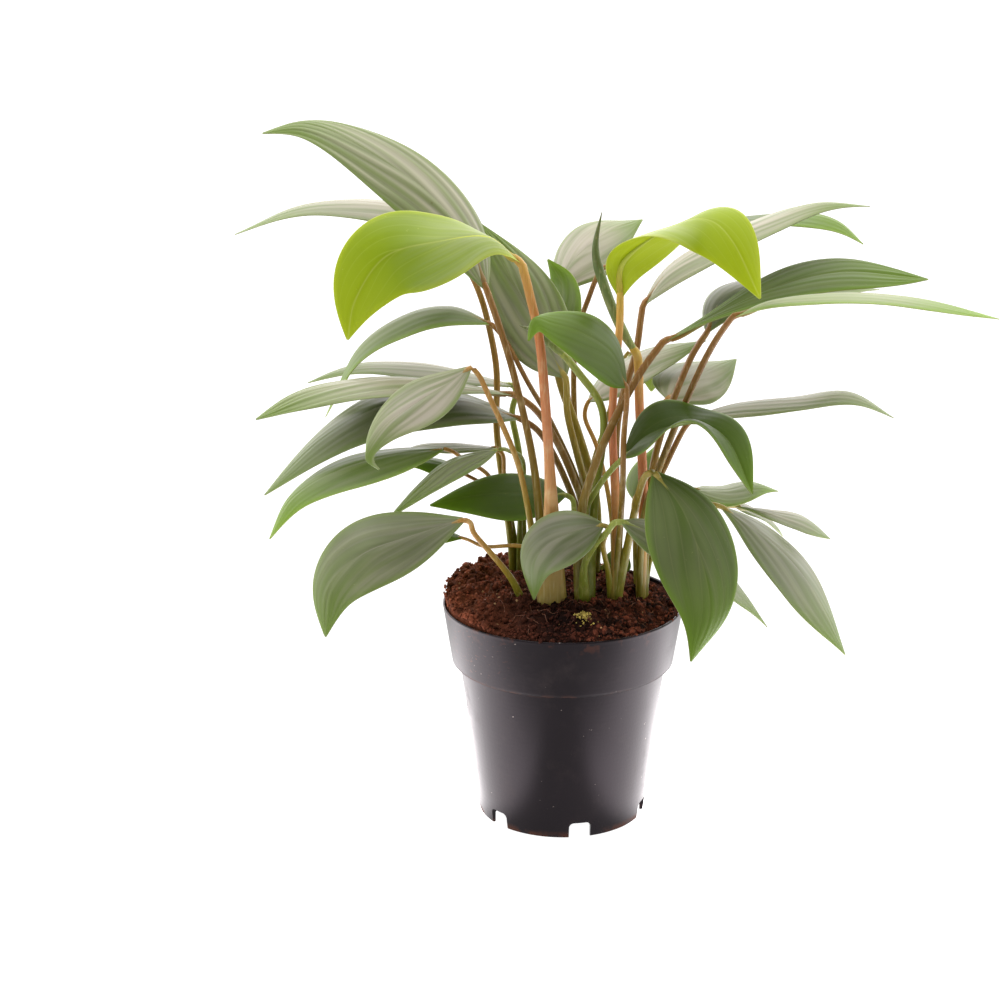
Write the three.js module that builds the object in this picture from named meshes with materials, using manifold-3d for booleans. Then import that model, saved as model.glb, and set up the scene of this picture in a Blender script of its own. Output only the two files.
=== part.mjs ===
// Potted homalomena: a leafy aroid with long stalked, pleated leaves in a round nursery pot.
// Millimetres, +Z up, origin on the ground under the middle of the pot, -Y towards the viewer.
import * as THREE from 'three';
import { mergeVertices } from 'three/addons/utils/BufferGeometryUtils.js';
import Module from 'manifold-3d';

const wasm = await Module();
wasm.setup();

// Pot: a thin moulded cup with a stiffening collar and drainage notches in its foot
const RIM_RADIUS = 60;
const POT_HEIGHT = 110;
const COLLAR_RADIUS = 55.6;
const COLLAR_BOTTOM = 81.6;
const BODY_TOP_RADIUS = 51.5;
const BODY_TOP = 79;
const FOOT_RADIUS = 42;
const FOOT_RING = 1.8;
const WALL = 1.2;
const FLOOR_UNDER = 5.5;
const FLOOR_TOP = 7;
const PAD_RADIUS = 12;
const POT_SIDES = 36;
const NOTCHES = 6;
const NOTCH_WIDTH = 11;
const NOTCH_HEIGHT = 8.2;
const NOTCH_CORNER = 2.5;
const NOTCH_DEPTH = 12;
const FIRST_NOTCH = 12.8 - 90;

// Soil: fills the pot, mounds up in the middle and stands above the rim at the left and back
const FIT = 0.3;
const SOIL_SHOULDER = 3;
const SOIL_RINGS = [0.96, 0.84, 0.68, 0.5, 0.32, 0.15, 0];
const MOUND = 9;
const LEFT_EDGE = 8.5;
const RIGHT_FALL = 5;

// Leaves and the shoots that carry them
const BLADE_THICKNESS = 0.8;
const BLADE_ROWS = 8;
const BLADE_COLUMNS = 4;
const STALK_SIDES = 5;
const STALK_STEPS = 7;
const JOINT_GAP = 0.8;
const NECK = 4.4;
const NECK_LEAN = 1.3;
const PLUG_DEPTH = 24;
const PLUG_RISE = 2.5;
const PLUG_SIDES = 12;

const FINISH = {
  pot: { color: '#2b2729', roughness: 0.45, metalness: 0 },
  soil: { color: '#3b2014', roughness: 0.95, metalness: 0 },
  stalk: { color: '#8d6f3f', roughness: 0.45, metalness: 0 },
  mature: { color: '#5f7549', roughness: 0.4, metalness: 0 },
  dark: { color: '#41601f', roughness: 0.4, metalness: 0 },
  fresh: { color: '#74903c', roughness: 0.4, metalness: 0 },
  lime: { color: '#a3bd3a', roughness: 0.4, metalness: 0 },
};

// Each shoot stands in its own hole: where it stands and how thick its foot is
const SHOOTS = {
  front: { at: [-5, -22], radius: 8 },
  left: { at: [-20, -17], radius: 4.5 },
  centre: { at: [11, -20], radius: 6.5 },
  mid_right: { at: [25, -10], radius: 6.5 },
  right: { at: [38, 5], radius: 7.5 },
  back_left: { at: [-22, 25], radius: 6.5 },
  back: { at: [12, 24], radius: 8 },
};

// One entry a leaf. rib: the midrib from the stalk to the tip. roll: degrees along the rib by which
// the left margin, seen from the base, stands up. fold: rise of the halves, roof below zero.
// stalk: the way up from the shoot. thick: its radius under the blade. foot: its radius in the soil.
const LEAVES = {
  top_left: {
    shoot: 'front', tone: 'mature', width: 34, roll: [-40, -40, -30], fold: -0.12,
    rib: [[-38, -4, 270], [-47, 0, 293], [-70, 8, 317], [-101, 16, 336], [-126, 22, 344],
      [-147, 26, 339]],
    stalk: [[-14, -15, 181], [-23, -9, 223], [-30, -6, 247]], thick: 1.7,
  },
  lime_left: {
    shoot: 'front', tone: 'lime', width: 42, belly: 0.52, roll: [10, -45, -80, -80], fold: -0.2,
    rib: [[-22, -24, 287], [-36, -27, 299], [-58, -32, 298], [-83, -38, 292], [-97, -44, 273],
      [-101, -46, 254]],
    stalk: [[-6, -24, 166], [-8, -25, 203], [-12, -25, 250], [-17, -24, 271]], thick: 2.1, foot: 6,
  },
  far_left_thin: {
    shoot: 'back_left', tone: 'mature', width: 34, roll: [-4, -6, -4], fold: -0.1,
    rib: [[-46, 30, 268], [-62, 34, 292], [-89, 40, 302], [-130, 48, 300], [-166, 54, 284]],
    stalk: [[-26, 26, 134], [-34, 34, 186], [-34, 35, 220], [-40, 32, 252]], thick: 1.5,
  },
  mid_left_green: {
    shoot: 'back', tone: 'fresh', width: 35, roll: [-6, -8, 0], fold: -0.15,
    rib: [[-37, 20, 247], [-56, 22, 254], [-79, 26, 249], [-103, 26, 232], [-120, 30, 196]],
    stalk: [[10, 18, 157], [-6, 16, 197], [-17, 16, 216], [-29, 18, 239]], thick: 1.2,
  },
  mid_left_dark: {
    shoot: 'back_left', tone: 'dark', width: 32, roll: [4, 0, -4], fold: -0.1,
    rib: [[-26, 46, 209], [-64, 50, 217], [-98, 54, 218], [-116, 54, 214], [-131, 52, 208]],
    stalk: [[-21, 28, 155], [-23, 36, 178], [-27, 42, 197]], thick: 1.5,
  },
  striped_left: {
    shoot: 'back', tone: 'mature', width: 36, belly: 0.52, roll: [2, 0, -20], fold: -0.1,
    rib: [[-26, 6, 215], [-61, 4, 221], [-92, 0, 223], [-126, -4, 217], [-150, -8, 205]],
    stalk: [[11, 12, 149], [1, 8, 181], [-12, 6, 205]], thick: 1.7,
  },
  curled_front_left: {
    shoot: 'front', tone: 'mature', width: 25, taper: 1.7, roll: [-35, -35, -35], fold: -0.1,
    rib: [[-45, -30, 237], [-54, -38, 232], [-67, -48, 226], [-83, -58, 216], [-92, -62, 202],
      [-86, -62, 196]],
    stalk: [[-20, -18, 178], [-28, -22, 203], [-38, -27, 227]], thick: 1.3,
  },
  under_left: {
    shoot: 'back', tone: 'mature', width: 42, roll: [-10, -18, -18], fold: -0.1,
    rib: [[-23, 20, 199], [-52, 14, 210], [-87, 7, 209], [-119, 3, 192], [-148, 0, 164]],
    stalk: [[8, 20, 146], [-2, 22, 173], [-12, 22, 191]], thick: 1.5,
  },
  drooping_left: {
    shoot: 'back_left', tone: 'fresh', width: 34, roll: [-6, -10, -14], fold: -0.1,
    rib: [[-59, -2, 189], [-83, -6, 187], [-109, -12, 181], [-132, -18, 168], [-143, -24, 149]],
    stalk: [[-28, 25, 142], [-37, 24, 167], [-49, 8, 180]], thick: 1.0,
  },
  edge_on_left: {
    shoot: 'back_left', tone: 'mature', width: 26, roll: [8, 8, 0], fold: -0.1,
    rib: [[-34, 18, 184], [-57, 22, 185], [-77, 24, 182], [-88, 26, 169]],
    stalk: [[-27, 26, 139], [-30, 22, 167]], thick: 1.1,
  },
  small_left: {
    shoot: 'back_left', tone: 'dark', width: 18, roll: [-10, -10, 0], fold: -0.1,
    rib: [[-51, 24, 169], [-62, 26, 173], [-73, 28, 174], [-81, 30, 170]],
    stalk: [[-26, 28, 135], [-37, 26, 159]], thick: 0.9,
  },
  narrow_left: {
    shoot: 'back_left', tone: 'dark', width: 22, roll: [-6, -6, -6], fold: -0.2,
    rib: [[-33, -6, 190], [-53, -13, 186], [-70, -17, 174], [-85, -20, 159]],
    stalk: [[-22, 24, 145], [-20, 20, 176], [-27, 5, 186]], thick: 1.0,
  },
  low_left: {
    shoot: 'left', tone: 'mature', width: 36, belly: 0.48, roll: [-50, -50, -45], fold: -0.1,
    rib: [[-48, -34, 163], [-73, -42, 157], [-96, -50, 150], [-111, -56, 134], [-113, -60, 112]],
    stalk: [[-26, -24, 131], [-36, -30, 146], [-44, -33, 157]], thick: 1.3,
  },
  tiny_left: {
    shoot: 'front', tone: 'dark', width: 14, roll: [-10, -10, 0], fold: -0.1,
    rib: [[-50, -4, 144], [-59, -2, 145], [-69, 0, 141], [-77, 2, 134]],
    stalk: [[-11, -14, 137], [-21, -10, 142], [-39, -6, 140]], thick: 0.9,
  },
  dark_centre: {
    shoot: 'centre', tone: 'dark', width: 30, roll: [-35, -35, -30], fold: -0.1,
    rib: [[1, 5, 164], [-22, 4, 165], [-44, 2, 164], [-66, -2, 160]],
    stalk: [[7, -8, 143], [5, 2, 157]], thick: 1.3,
  },
  front_centre: {
    shoot: 'mid_right', tone: 'mature', width: 28, belly: 0.4, roll: [-55, -55, -40], fold: -0.1,
    rib: [[19, -34, 161], [7, -40, 160], [-7, -42, 154], [-15, -40, 142], [-14, -38, 124]],
    stalk: [[22, -19, 132], [19, -30, 150]], thick: 1.2,
  },
  front_right: {
    shoot: 'mid_right', tone: 'mature', width: 44, belly: 0.42, roll: [10, 0, -10], fold: -0.15,
    rib: [[43, -40, 189], [56, -56, 175], [65, -70, 153], [68, -78, 131], [60, -80, 109]],
    stalk: [[30, -16, 137], [34, -27, 165], [37, -35, 182]], thick: 1.7,
  },
  behind_front_right: {
    shoot: 'centre', tone: 'mature', width: 32, roll: [30, 20, 10], fold: -0.1,
    rib: [[28, -38, 164], [46, -38, 157], [71, -34, 143], [88, -28, 124], [100, -24, 106]],
    stalk: [[10, -28, 137], [15, -32, 150], [22, -36, 159]], thick: 1.5,
  },
  right_drooping: {
    shoot: 'right', tone: 'mature', width: 38, belly: 0.5, roll: [15, 15, 10], fold: -0.12,
    rib: [[79, 8, 157], [95, 6, 147], [115, 2, 129], [130, -2, 107], [141, -6, 85]],
    stalk: [[43, 6, 141], [63, 8, 157]], thick: 1.4,
  },
  right_narrow: {
    shoot: 'right', tone: 'mature', width: 24, belly: 0.6, roll: [0, 6, 6], fold: -0.1,
    rib: [[87, 30, 151], [107, 32, 147], [124, 34, 142], [136, 36, 132]],
    stalk: [[46, 14, 135], [66, 24, 150]], thick: 1.2,
  },
  right_pale: {
    shoot: 'right', tone: 'mature', width: 26, roll: [0, 0, 0], fold: -0.1,
    rib: [[81, 46, 151], [95, 50, 145], [107, 54, 136], [114, 58, 126]],
    stalk: [[44, 18, 134], [64, 36, 149]], thick: 1.2,
  },
  right_light: {
    shoot: 'right', tone: 'fresh', width: 30, roll: [4, 4, 0], fold: -0.1,
    rib: [[66, 32, 159], [82, 34, 158], [97, 38, 160], [109, 40, 156]],
    stalk: [[41, 12, 136], [53, 24, 153]], thick: 1.2,
  },
  right_folded: {
    shoot: 'centre', tone: 'dark', width: 40, belly: 0.36, roll: [24, 30, -10, 15, 30], fold: 0.36,
    rib: [[29, -20, 191], [39, -26, 203], [52, -32, 210], [65, -36, 212], [78, -40, 204],
      [89, -44, 180]],
    stalk: [[10, -16, 158], [16, -21, 175], [23, -21, 185]], thick: 1.4,
  },
  right_long_thin: {
    shoot: 'right', tone: 'mature', width: 34, roll: [-4, -4, 6], fold: -0.1,
    rib: [[65, 14, 202], [86, 16, 208], [116, 18, 211], [141, 20, 213], [163, 22, 200]],
    stalk: [[42, 10, 155], [51, 12, 179], [58, 14, 194]], thick: 1.4,
  },
  right_grey: {
    shoot: 'centre', tone: 'mature', width: 38, belly: 0.62, roll: [-6, 10, 18], fold: 0.1,
    rib: [[48, -14, 247], [72, -2, 257], [100, 8, 268], [135, 18, 274], [177, 26, 269]],
    stalk: [[8, -24, 160], [17, -24, 194], [32, -20, 226]], thick: 1.8,
  },
  right_longest: {
    shoot: 'right', tone: 'fresh', width: 32, belly: 0.5, roll: [-6, -4, 0], fold: -0.05,
    rib: [[80, -26, 262], [98, -28, 270], [133, -26, 273], [169, -22, 269], [205, -16, 259]],
    stalk: [[39, -4, 154], [50, -8, 193], [66, -18, 238]], thick: 1.6,
  },
  right_back_grey: {
    shoot: 'right', tone: 'mature', width: 34, roll: [10, 10, 0], fold: -0.1,
    rib: [[70, 24, 243], [77, 34, 256], [97, 50, 261], [129, 70, 257], [162, 90, 250]],
    stalk: [[40, 8, 150], [47, 14, 190], [62, 20, 231]], thick: 1.6,
  },
  top_right: {
    shoot: 'mid_right', tone: 'mature', width: 30, roll: [8, 6, 0], fold: -0.1,
    rib: [[39, 20, 258], [50, 22, 273], [70, 26, 285], [99, 32, 297], [124, 38, 304],
      [149, 42, 302]],
    stalk: [[26, -4, 149], [26, 8, 201], [35, 16, 234]], thick: 1.6,
  },
  top_right_light: {
    shoot: 'back', tone: 'fresh', width: 34, belly: 0.6, roll: [-10, -10, 15], fold: -0.1,
    rib: [[19, 54, 268], [42, 60, 282], [82, 66, 291], [118, 70, 293], [137, 70, 289],
      [150, 68, 278]],
    stalk: [[14, 28, 144], [6, 46, 181], [5, 62, 227], [12, 62, 251]], thick: 1.3,
  },
  lime_right: {
    shoot: 'mid_right', tone: 'lime', width: 38, belly: 0.45, roll: [-80, -17, 45, 50], fold: -0.1,
    rib: [[26, -14, 269], [27, -18, 286], [43, -24, 301], [63, -32, 309], [76, -42, 301],
      [89, -52, 276]],
    stalk: [[26, -16, 153], [23, -14, 210], [26, -14, 254]], thick: 1.8,
  },
  centre_front: {
    shoot: 'mid_right', tone: 'fresh', width: 31, belly: 0.36, roll: [-50, -50, -30], fold: -0.1,
    rib: [[29, -28, 228], [22, -36, 246], [8, -42, 257], [-6, -44, 262], [-14, -45, 264],
      [-17, -46, 254]],
    stalk: [[27, -19, 146], [28, -37, 182], [28, -39, 206]], thick: 1.3,
  },
  centre_dark: {
    shoot: 'back', tone: 'dark', width: 36, roll: [-60, -60, -55], fold: -0.1,
    rib: [[0, 18, 221], [-12, 20, 241], [-23, 24, 263], [-35, 30, 282], [-43, 36, 294]],
    stalk: [[13, 16, 153], [7, 14, 180], [1, 16, 204]], thick: 1.6,
  },
  centre_back: {
    shoot: 'back', tone: 'fresh', width: 22, roll: [-50, -50, -50], fold: -0.1,
    rib: [[-5, 34, 233], [-2, 38, 249], [-2, 44, 262], [-9, 50, 273]],
    stalk: [[16, 24, 155], [7, 28, 189], [-2, 32, 213]], thick: 2.0,
  },
  back_top: {
    shoot: 'back', tone: 'mature', width: 42, belly: 0.48, roll: [25, 25, 12], fold: -0.1,
    rib: [[-5, 70, 252], [5, 74, 269], [21, 79, 281], [39, 84, 287]],
    stalk: [[12, 34, 158], [4, 52, 190], [-4, 66, 228]], thick: 1.3,
  },
  back_grey: {
    shoot: 'mid_right', tone: 'mature', width: 32, roll: [10, 10, 10], fold: -0.1,
    rib: [[12, 38, 203], [25, 42, 215], [45, 48, 225], [71, 54, 231]],
    stalk: [[24, 6, 151], [17, 26, 181], [10, 36, 194]], thick: 1.1,
  },
  back_light_tip: {
    shoot: 'back', tone: 'fresh', width: 20, roll: [0, -20, -45], fold: -0.1,
    rib: [[33, 66, 221], [41, 72, 218], [45, 76, 209], [45, 78, 198]],
    stalk: [[13, 38, 162], [22, 58, 189]], thick: 1.0,
  },
  back_right_short: {
    shoot: 'right', tone: 'mature', width: 36, roll: [20, 20, 10], fold: -0.1,
    rib: [[51, 26, 208], [60, 40, 213], [73, 56, 215], [88, 72, 217]],
    stalk: [[42, 14, 154], [47, 20, 188]], thick: 1.3,
  },
  low_back: {
    shoot: 'back', tone: 'dark', width: 16, roll: [-30, -30, -30], fold: -0.1,
    rib: [[32, 20, 129], [27, 17, 125], [23, 14, 119]],
    stalk: [[24, 26, 122], [30, 24, 129]], thick: 0.9,
  },
  back_right_green: {
    shoot: 'right', tone: 'fresh', width: 20, roll: [0, 0, 0], fold: -0.1,
    rib: [[36, 40, 151], [39, 46, 159], [43, 52, 167], [47, 58, 174]],
    stalk: [[36, 16, 134], [36, 32, 144]], thick: 1.1,
  },
};

// Leaves still rolled up in a spear: the line of the spear and its greatest radius
const SPEARS = {
  spear: {
    shoot: 'right', tone: 'fresh', thick: 2.2,
    line: [[34, -6, 239], [27, -8, 251], [19, -8, 270], [14, -6, 289], [17, -2, 307]],
    stalk: [[39, 0, 163], [36, -4, 215]],
  },
  spear_left: {
    shoot: 'centre', tone: 'fresh', thick: 1.8,
    line: [[0, -10, 238], [-8, -10, 245], [-14, -10, 250], [-22, -10, 253]],
    stalk: [[15, -14, 167], [19, -12, 210], [7, -10, 229]],
  },
};

const lerp = THREE.MathUtils.lerp;
const radians = THREE.MathUtils.degToRad;
const smoothstep = THREE.MathUtils.smoothstep;
const point = (p) => new THREE.Vector3(...p);

function smoothLine(points) {
  return new THREE.CatmullRomCurve3(points, false, 'catmullrom', 0.5);
}

// A closed mesh becomes a solid once only its positions are left and shared corners are merged
function toSolid(geometry) {
  const bare = geometry.clone();
  bare.deleteAttribute('normal');
  bare.deleteAttribute('uv');
  const merged = mergeVertices(bare, 1e-4);
  return new wasm.Manifold(new wasm.Mesh({
    numProp: 3,
    vertProperties: new Float32Array(merged.attributes.position.array),
    triVerts: new Uint32Array(merged.index.array),
  }));
}

function fromSolid(solid) {
  const mesh = solid.getMesh();
  const geometry = new THREE.BufferGeometry();
  geometry.setAttribute('position', new THREE.BufferAttribute(mesh.vertProperties, 3));
  geometry.setIndex(new THREE.BufferAttribute(mesh.triVerts, 1));
  geometry.computeVertexNormals();
  return geometry;
}

// Height of the soil over a spot: a lumpy mound that leans on the left and back of the rim
function soilHeight(x, y) {
  const reach = Math.hypot(x, y);
  const leftward = Math.max(0, (-0.9 * x + 0.45 * y) / (reach + 1));
  const over = lerp(MOUND, LEFT_EDGE * leftward, (reach / RIM_RADIUS) ** 3);
  const lumps = 0.7 * Math.sin(x * 0.31 + 1) * Math.cos(y * 0.27) + 0.5 * Math.sin(x * 0.13 - y * 0.21);
  return POT_HEIGHT + over - RIGHT_FALL * smoothstep(x, 12, 50) + lumps;
}

function lathe(profile) {
  const outline = profile.map(([r, z]) => new THREE.Vector2(r, z));
  return new THREE.LatheGeometry(outline, POT_SIDES).rotateX(Math.PI / 2);
}

function potGeometry() {
  const inner = BODY_TOP_RADIUS - WALL;
  let pot = toSolid(lathe([
    [0, 0], [PAD_RADIUS, 0], [PAD_RADIUS, FLOOR_UNDER],
    [FOOT_RADIUS - FOOT_RING, FLOOR_UNDER], [FOOT_RADIUS - FOOT_RING, 0],
    [FOOT_RADIUS - 0.6, 0], [FOOT_RADIUS, 0.8],
    [BODY_TOP_RADIUS, BODY_TOP], [BODY_TOP_RADIUS + 2.4, BODY_TOP + 0.8],
    [COLLAR_RADIUS, COLLAR_BOTTOM], [RIM_RADIUS, POT_HEIGHT],
    [RIM_RADIUS - WALL, POT_HEIGHT], [COLLAR_RADIUS - WALL, COLLAR_BOTTOM + 0.8],
    [inner + 2.2, BODY_TOP + 1.9], [inner, BODY_TOP + 1.2],
    [FOOT_RADIUS - WALL, FLOOR_TOP], [0, FLOOR_TOP],
  ]));
  const shoulder = NOTCH_WIDTH / 2 - NOTCH_CORNER;
  const spring = NOTCH_HEIGHT - NOTCH_CORNER;
  const opening = new THREE.Shape();
  opening.moveTo(-NOTCH_WIDTH / 2, -1);
  opening.lineTo(NOTCH_WIDTH / 2, -1);
  opening.lineTo(NOTCH_WIDTH / 2, spring);
  opening.absarc(shoulder, spring, NOTCH_CORNER, 0, Math.PI / 2, false);
  opening.absarc(-shoulder, spring, NOTCH_CORNER, Math.PI / 2, Math.PI, false);
  const bore = { depth: NOTCH_DEPTH, bevelEnabled: false, curveSegments: 3 };
  for (let i = 0; i < NOTCHES; i += 1) {
    const cutter = new THREE.ExtrudeGeometry(opening, bore);
    cutter.rotateX(Math.PI / 2).rotateZ(Math.PI / 2).translate(FOOT_RADIUS - NOTCH_DEPTH / 2, 0, 0);
    cutter.rotateZ(radians(FIRST_NOTCH + i * 360 / NOTCHES));
    pot = pot.subtract(toSolid(cutter));
  }
  return fromSolid(pot);
}

function soilGeometry() {
  const wallTop = COLLAR_RADIUS - WALL - FIT;
  const neck = BODY_TOP_RADIUS - WALL - FIT;
  const brim = RIM_RADIUS - WALL - 3 * FIT;
  const profile = [
    [0, FLOOR_TOP + FIT], [FOOT_RADIUS - WALL - FIT, FLOOR_TOP + FIT],
    [neck, BODY_TOP + 1.4], [wallTop - FIT, COLLAR_BOTTOM + 1.4], [brim, POT_HEIGHT - SOIL_SHOULDER],
    ...SOIL_RINGS.map((ring) => [brim * ring, POT_HEIGHT]),
  ];
  const geometry = lathe(profile);
  const spots = geometry.attributes.position;
  for (let i = 0; i < spots.count; i += 1) {
    if (spots.getZ(i) > POT_HEIGHT - SOIL_SHOULDER / 2) {
      spots.setZ(i, soilHeight(spots.getX(i), spots.getY(i)));
    }
  }
  let soil = toSolid(geometry);
  const tall = 3 * PLUG_DEPTH;
  for (const shoot of Object.values(SHOOTS)) {
    const hole = new THREE.CylinderGeometry(shoot.radius + FIT, shoot.radius + FIT, tall, PLUG_SIDES);
    const bottom = soilHeight(...shoot.at) - PLUG_DEPTH - FIT;
    hole.rotateX(Math.PI / 2).translate(shoot.at[0], shoot.at[1], bottom + tall / 2);
    soil = soil.subtract(toSolid(hole));
  }
  return fromSolid(soil);
}

// Half the blade's width at u along the rib, widest at the belly and drawn out to the tip
function halfWidth(leaf, u) {
  const belly = leaf.belly ?? 0.38;
  const tipPower = leaf.taper ?? 1.05;
  const basePower = tipPower * belly / (1 - belly);
  const shape = (u / belly) ** basePower * ((1 - u) / (1 - belly)) ** tipPower;
  return Math.max(leaf.width / 2 * shape, lerp(leaf.thick, 0.5, u));
}

function rollAt(roll, u) {
  const along = u * (roll.length - 1);
  const i = Math.min(Math.floor(along), roll.length - 2);
  return radians(lerp(roll[i], roll[i + 1], smoothstep(along - i, 0, 1)));
}

// The blade as a surface: u runs from the base to the tip, v from the right margin to the left
function bladeSurface(leaf) {
  const rib = smoothLine(leaf.rib.map(point));
  const run = rib.getPoint(1).sub(rib.getPoint(0));
  const level = new THREE.Vector3(-run.y, run.x, 0).normalize();
  return (u, v) => {
    const along = THREE.MathUtils.clamp(u, 0, 1);
    const ahead = rib.getTangentAt(along);
    const side = level.clone().addScaledVector(ahead, -level.dot(ahead)).normalize();
    side.applyAxisAngle(ahead, rollAt(leaf.roll, along));
    const up = ahead.clone().cross(side);
    const half = halfWidth(leaf, along);
    const rise = leaf.fold * Math.abs(v) - 0.12 * v * v;
    const wave = 0.5 * v * v * Math.sin(along * 11 + (v > 0 ? 0.6 : 2.6));
    return rib.getPointAt(along)
      .addScaledVector(side, half * v)
      .addScaledVector(up, half * rise + wave * Math.min(1, half / 8));
  };
}

// Two skins split alike, a thickness apart, closed round their margin
function bladeGeometry(leaf) {
  const surface = bladeSurface(leaf);
  const skin = new THREE.PlaneGeometry(2, 1, BLADE_COLUMNS, BLADE_ROWS);
  const spots = skin.attributes.position;
  const count = spots.count;
  const corners = [[], []];
  const nudge = 0.01;
  for (let i = 0; i < count; i += 1) {
    const v = spots.getX(i);
    const step = spots.getY(i) + 0.5;
    const u = step - 0.07 * Math.sin(2 * Math.PI * step);
    const back = Math.max(u - nudge, 0);
    const alongRib = surface(Math.min(u + nudge, 1), v).sub(surface(back, v));
    const across = surface(u, v + nudge).sub(surface(u, v - nudge));
    const normal = alongRib.cross(across).normalize().multiplyScalar(BLADE_THICKNESS / 2);
    const middle = surface(u, v);
    corners[0].push(...middle.clone().add(normal).toArray());
    corners[1].push(...middle.clone().sub(normal).toArray());
  }
  const index = [];
  for (let i = 0; i < skin.index.count; i += 3) {
    const [a, b, c] = [skin.index.getX(i), skin.index.getX(i + 1), skin.index.getX(i + 2)];
    index.push(a, c, b, a + count, b + count, c + count);
  }
  const rim = [];
  const wide = BLADE_COLUMNS + 1;
  for (let i = 0; i < BLADE_COLUMNS; i += 1) rim.push(i);
  for (let i = 0; i < BLADE_ROWS; i += 1) rim.push(i * wide + BLADE_COLUMNS);
  for (let i = BLADE_COLUMNS; i > 0; i -= 1) rim.push(BLADE_ROWS * wide + i);
  for (let i = BLADE_ROWS; i > 0; i -= 1) rim.push(i * wide);
  rim.forEach((a, i) => {
    const b = rim[(i + 1) % rim.length];
    index.push(b, a, b + count, b + count, a, a + count);
  });
  const geometry = new THREE.BufferGeometry();
  geometry.setAttribute('position', new THREE.Float32BufferAttribute([...corners[0], ...corners[1]], 3));
  geometry.setIndex(index);
  return geometry;
}

// A round limb along a line, its radius given at each height
function limbGeometry(points, radiusAt, steps, sides) {
  const line = smoothLine(points);
  const frames = line.computeFrenetFrames(steps, false);
  const limb = new THREE.CylinderGeometry(1, 1, 1, sides, steps);
  const spots = limb.attributes.position;
  for (let i = 0; i < spots.count; i += 1) {
    const row = Math.round((spots.getY(i) + 0.5) * steps);
    const radius = radiusAt(row / steps);
    const place = line.getPointAt(row / steps)
      .addScaledVector(frames.normals[row], radius * spots.getX(i))
      .addScaledVector(frames.binormals[row], -radius * spots.getZ(i));
    spots.setXYZ(i, place.x, place.y, place.z);
  }
  return limb;
}

// A stalk leaves its shoot as a wide sheath, slims, and stops just short of its blade
function stalkSolid(leaf) {
  const shoot = SHOOTS[leaf.shoot];
  const { thick, foot = 1.8 * leaf.thick } = leaf;
  const top = (leaf.rib ?? leaf.line).map(point);
  const ahead = smoothLine(top).getTangentAt(0);
  const way = leaf.stalk.map(point);
  const start = new THREE.Vector3(...shoot.at, soilHeight(...shoot.at) - 1);
  const lean = way[0].clone().sub(start).setZ(0);
  const spread = Math.min(shoot.radius - foot - 1, lean.length() * 0.6);
  start.addScaledVector(lean.normalize(), Math.max(spread, 0));
  const end = top[0].clone().addScaledVector(ahead, -JOINT_GAP);
  const arrival = end.clone().sub(way[way.length - 1]).normalize();
  const bend = arrival.addScaledVector(ahead, NECK_LEAN).normalize();
  const neck = end.clone().addScaledVector(bend, -NECK);
  const girth = (t) => thick * (1.25 - 0.25 * t) + (foot - 1.25 * thick) * Math.max(0, 1 - t / 0.45) ** 1.3;
  return toSolid(limbGeometry([start, ...way, neck, end], girth, STALK_STEPS, STALK_SIDES));
}

function spearGeometry(spear) {
  const girth = (t) => spear.thick * Math.max(0.16, Math.min(1, 0.6 + 2.4 * t, 2.2 * (1 - t) ** 0.8));
  return limbGeometry(spear.line.map(point), girth, 7, 7);
}

function shootGeometry(name) {
  const shoot = SHOOTS[name];
  const tall = PLUG_DEPTH + PLUG_RISE;
  const plug = new THREE.CylinderGeometry(shoot.radius * 0.8, shoot.radius, tall, PLUG_SIDES);
  const bottom = soilHeight(...shoot.at) - PLUG_DEPTH;
  plug.rotateX(Math.PI / 2).translate(shoot.at[0], shoot.at[1], bottom + tall / 2);
  const leaves = [...Object.values(LEAVES), ...Object.values(SPEARS)];
  const stalks = leaves.filter((leaf) => leaf.shoot === name);
  return fromSolid(stalks.reduce((whole, leaf) => whole.add(stalkSolid(leaf)), toSolid(plug)));
}

const plant = new THREE.Group();

function addPiece(name, geometry, finish) {
  const piece = new THREE.Mesh(geometry, new THREE.MeshStandardMaterial(FINISH[finish]));
  piece.name = name;
  plant.add(piece);
}

addPiece('pot', potGeometry(), 'pot');
addPiece('soil', soilGeometry(), 'soil');
for (const name of Object.keys(SHOOTS)) {
  addPiece(`shoot_${name}`, shootGeometry(name), 'stalk');
}
for (const [name, leaf] of Object.entries(LEAVES)) {
  addPiece(`blade_${name}`, bladeGeometry(leaf), leaf.tone);
}
for (const [name, spear] of Object.entries(SPEARS)) {
  addPiece(`rolled_${name}`, spearGeometry(spear), spear.tone);
}

export default plant;
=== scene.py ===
import math
import random

import bpy
import numpy as np
from mathutils import Euler, Matrix, Vector, noise


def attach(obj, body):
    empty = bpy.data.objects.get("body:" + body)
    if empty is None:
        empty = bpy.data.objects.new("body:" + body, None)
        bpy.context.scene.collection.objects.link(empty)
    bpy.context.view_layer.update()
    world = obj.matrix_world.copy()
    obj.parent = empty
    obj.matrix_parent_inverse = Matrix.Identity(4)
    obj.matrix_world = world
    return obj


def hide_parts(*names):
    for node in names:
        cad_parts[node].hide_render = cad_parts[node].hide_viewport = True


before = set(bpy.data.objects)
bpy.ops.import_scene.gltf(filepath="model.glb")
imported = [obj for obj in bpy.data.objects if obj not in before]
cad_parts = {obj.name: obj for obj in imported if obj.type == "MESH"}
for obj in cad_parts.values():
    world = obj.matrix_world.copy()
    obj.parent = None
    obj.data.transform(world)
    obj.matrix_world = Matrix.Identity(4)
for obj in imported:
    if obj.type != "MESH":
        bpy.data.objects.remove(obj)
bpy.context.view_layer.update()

# Potted homalomena: pleated leaves on long petioles in a black nursery pot of coir and peat.
# Lengths in the tables are millimetres in the part's frame.
MM = 0.001
SEAM_GAP = 0.01
LINE_STEPS = 401
bpy.ops.object.select_all(action="DESELECT")
random.seed(12)

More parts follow.
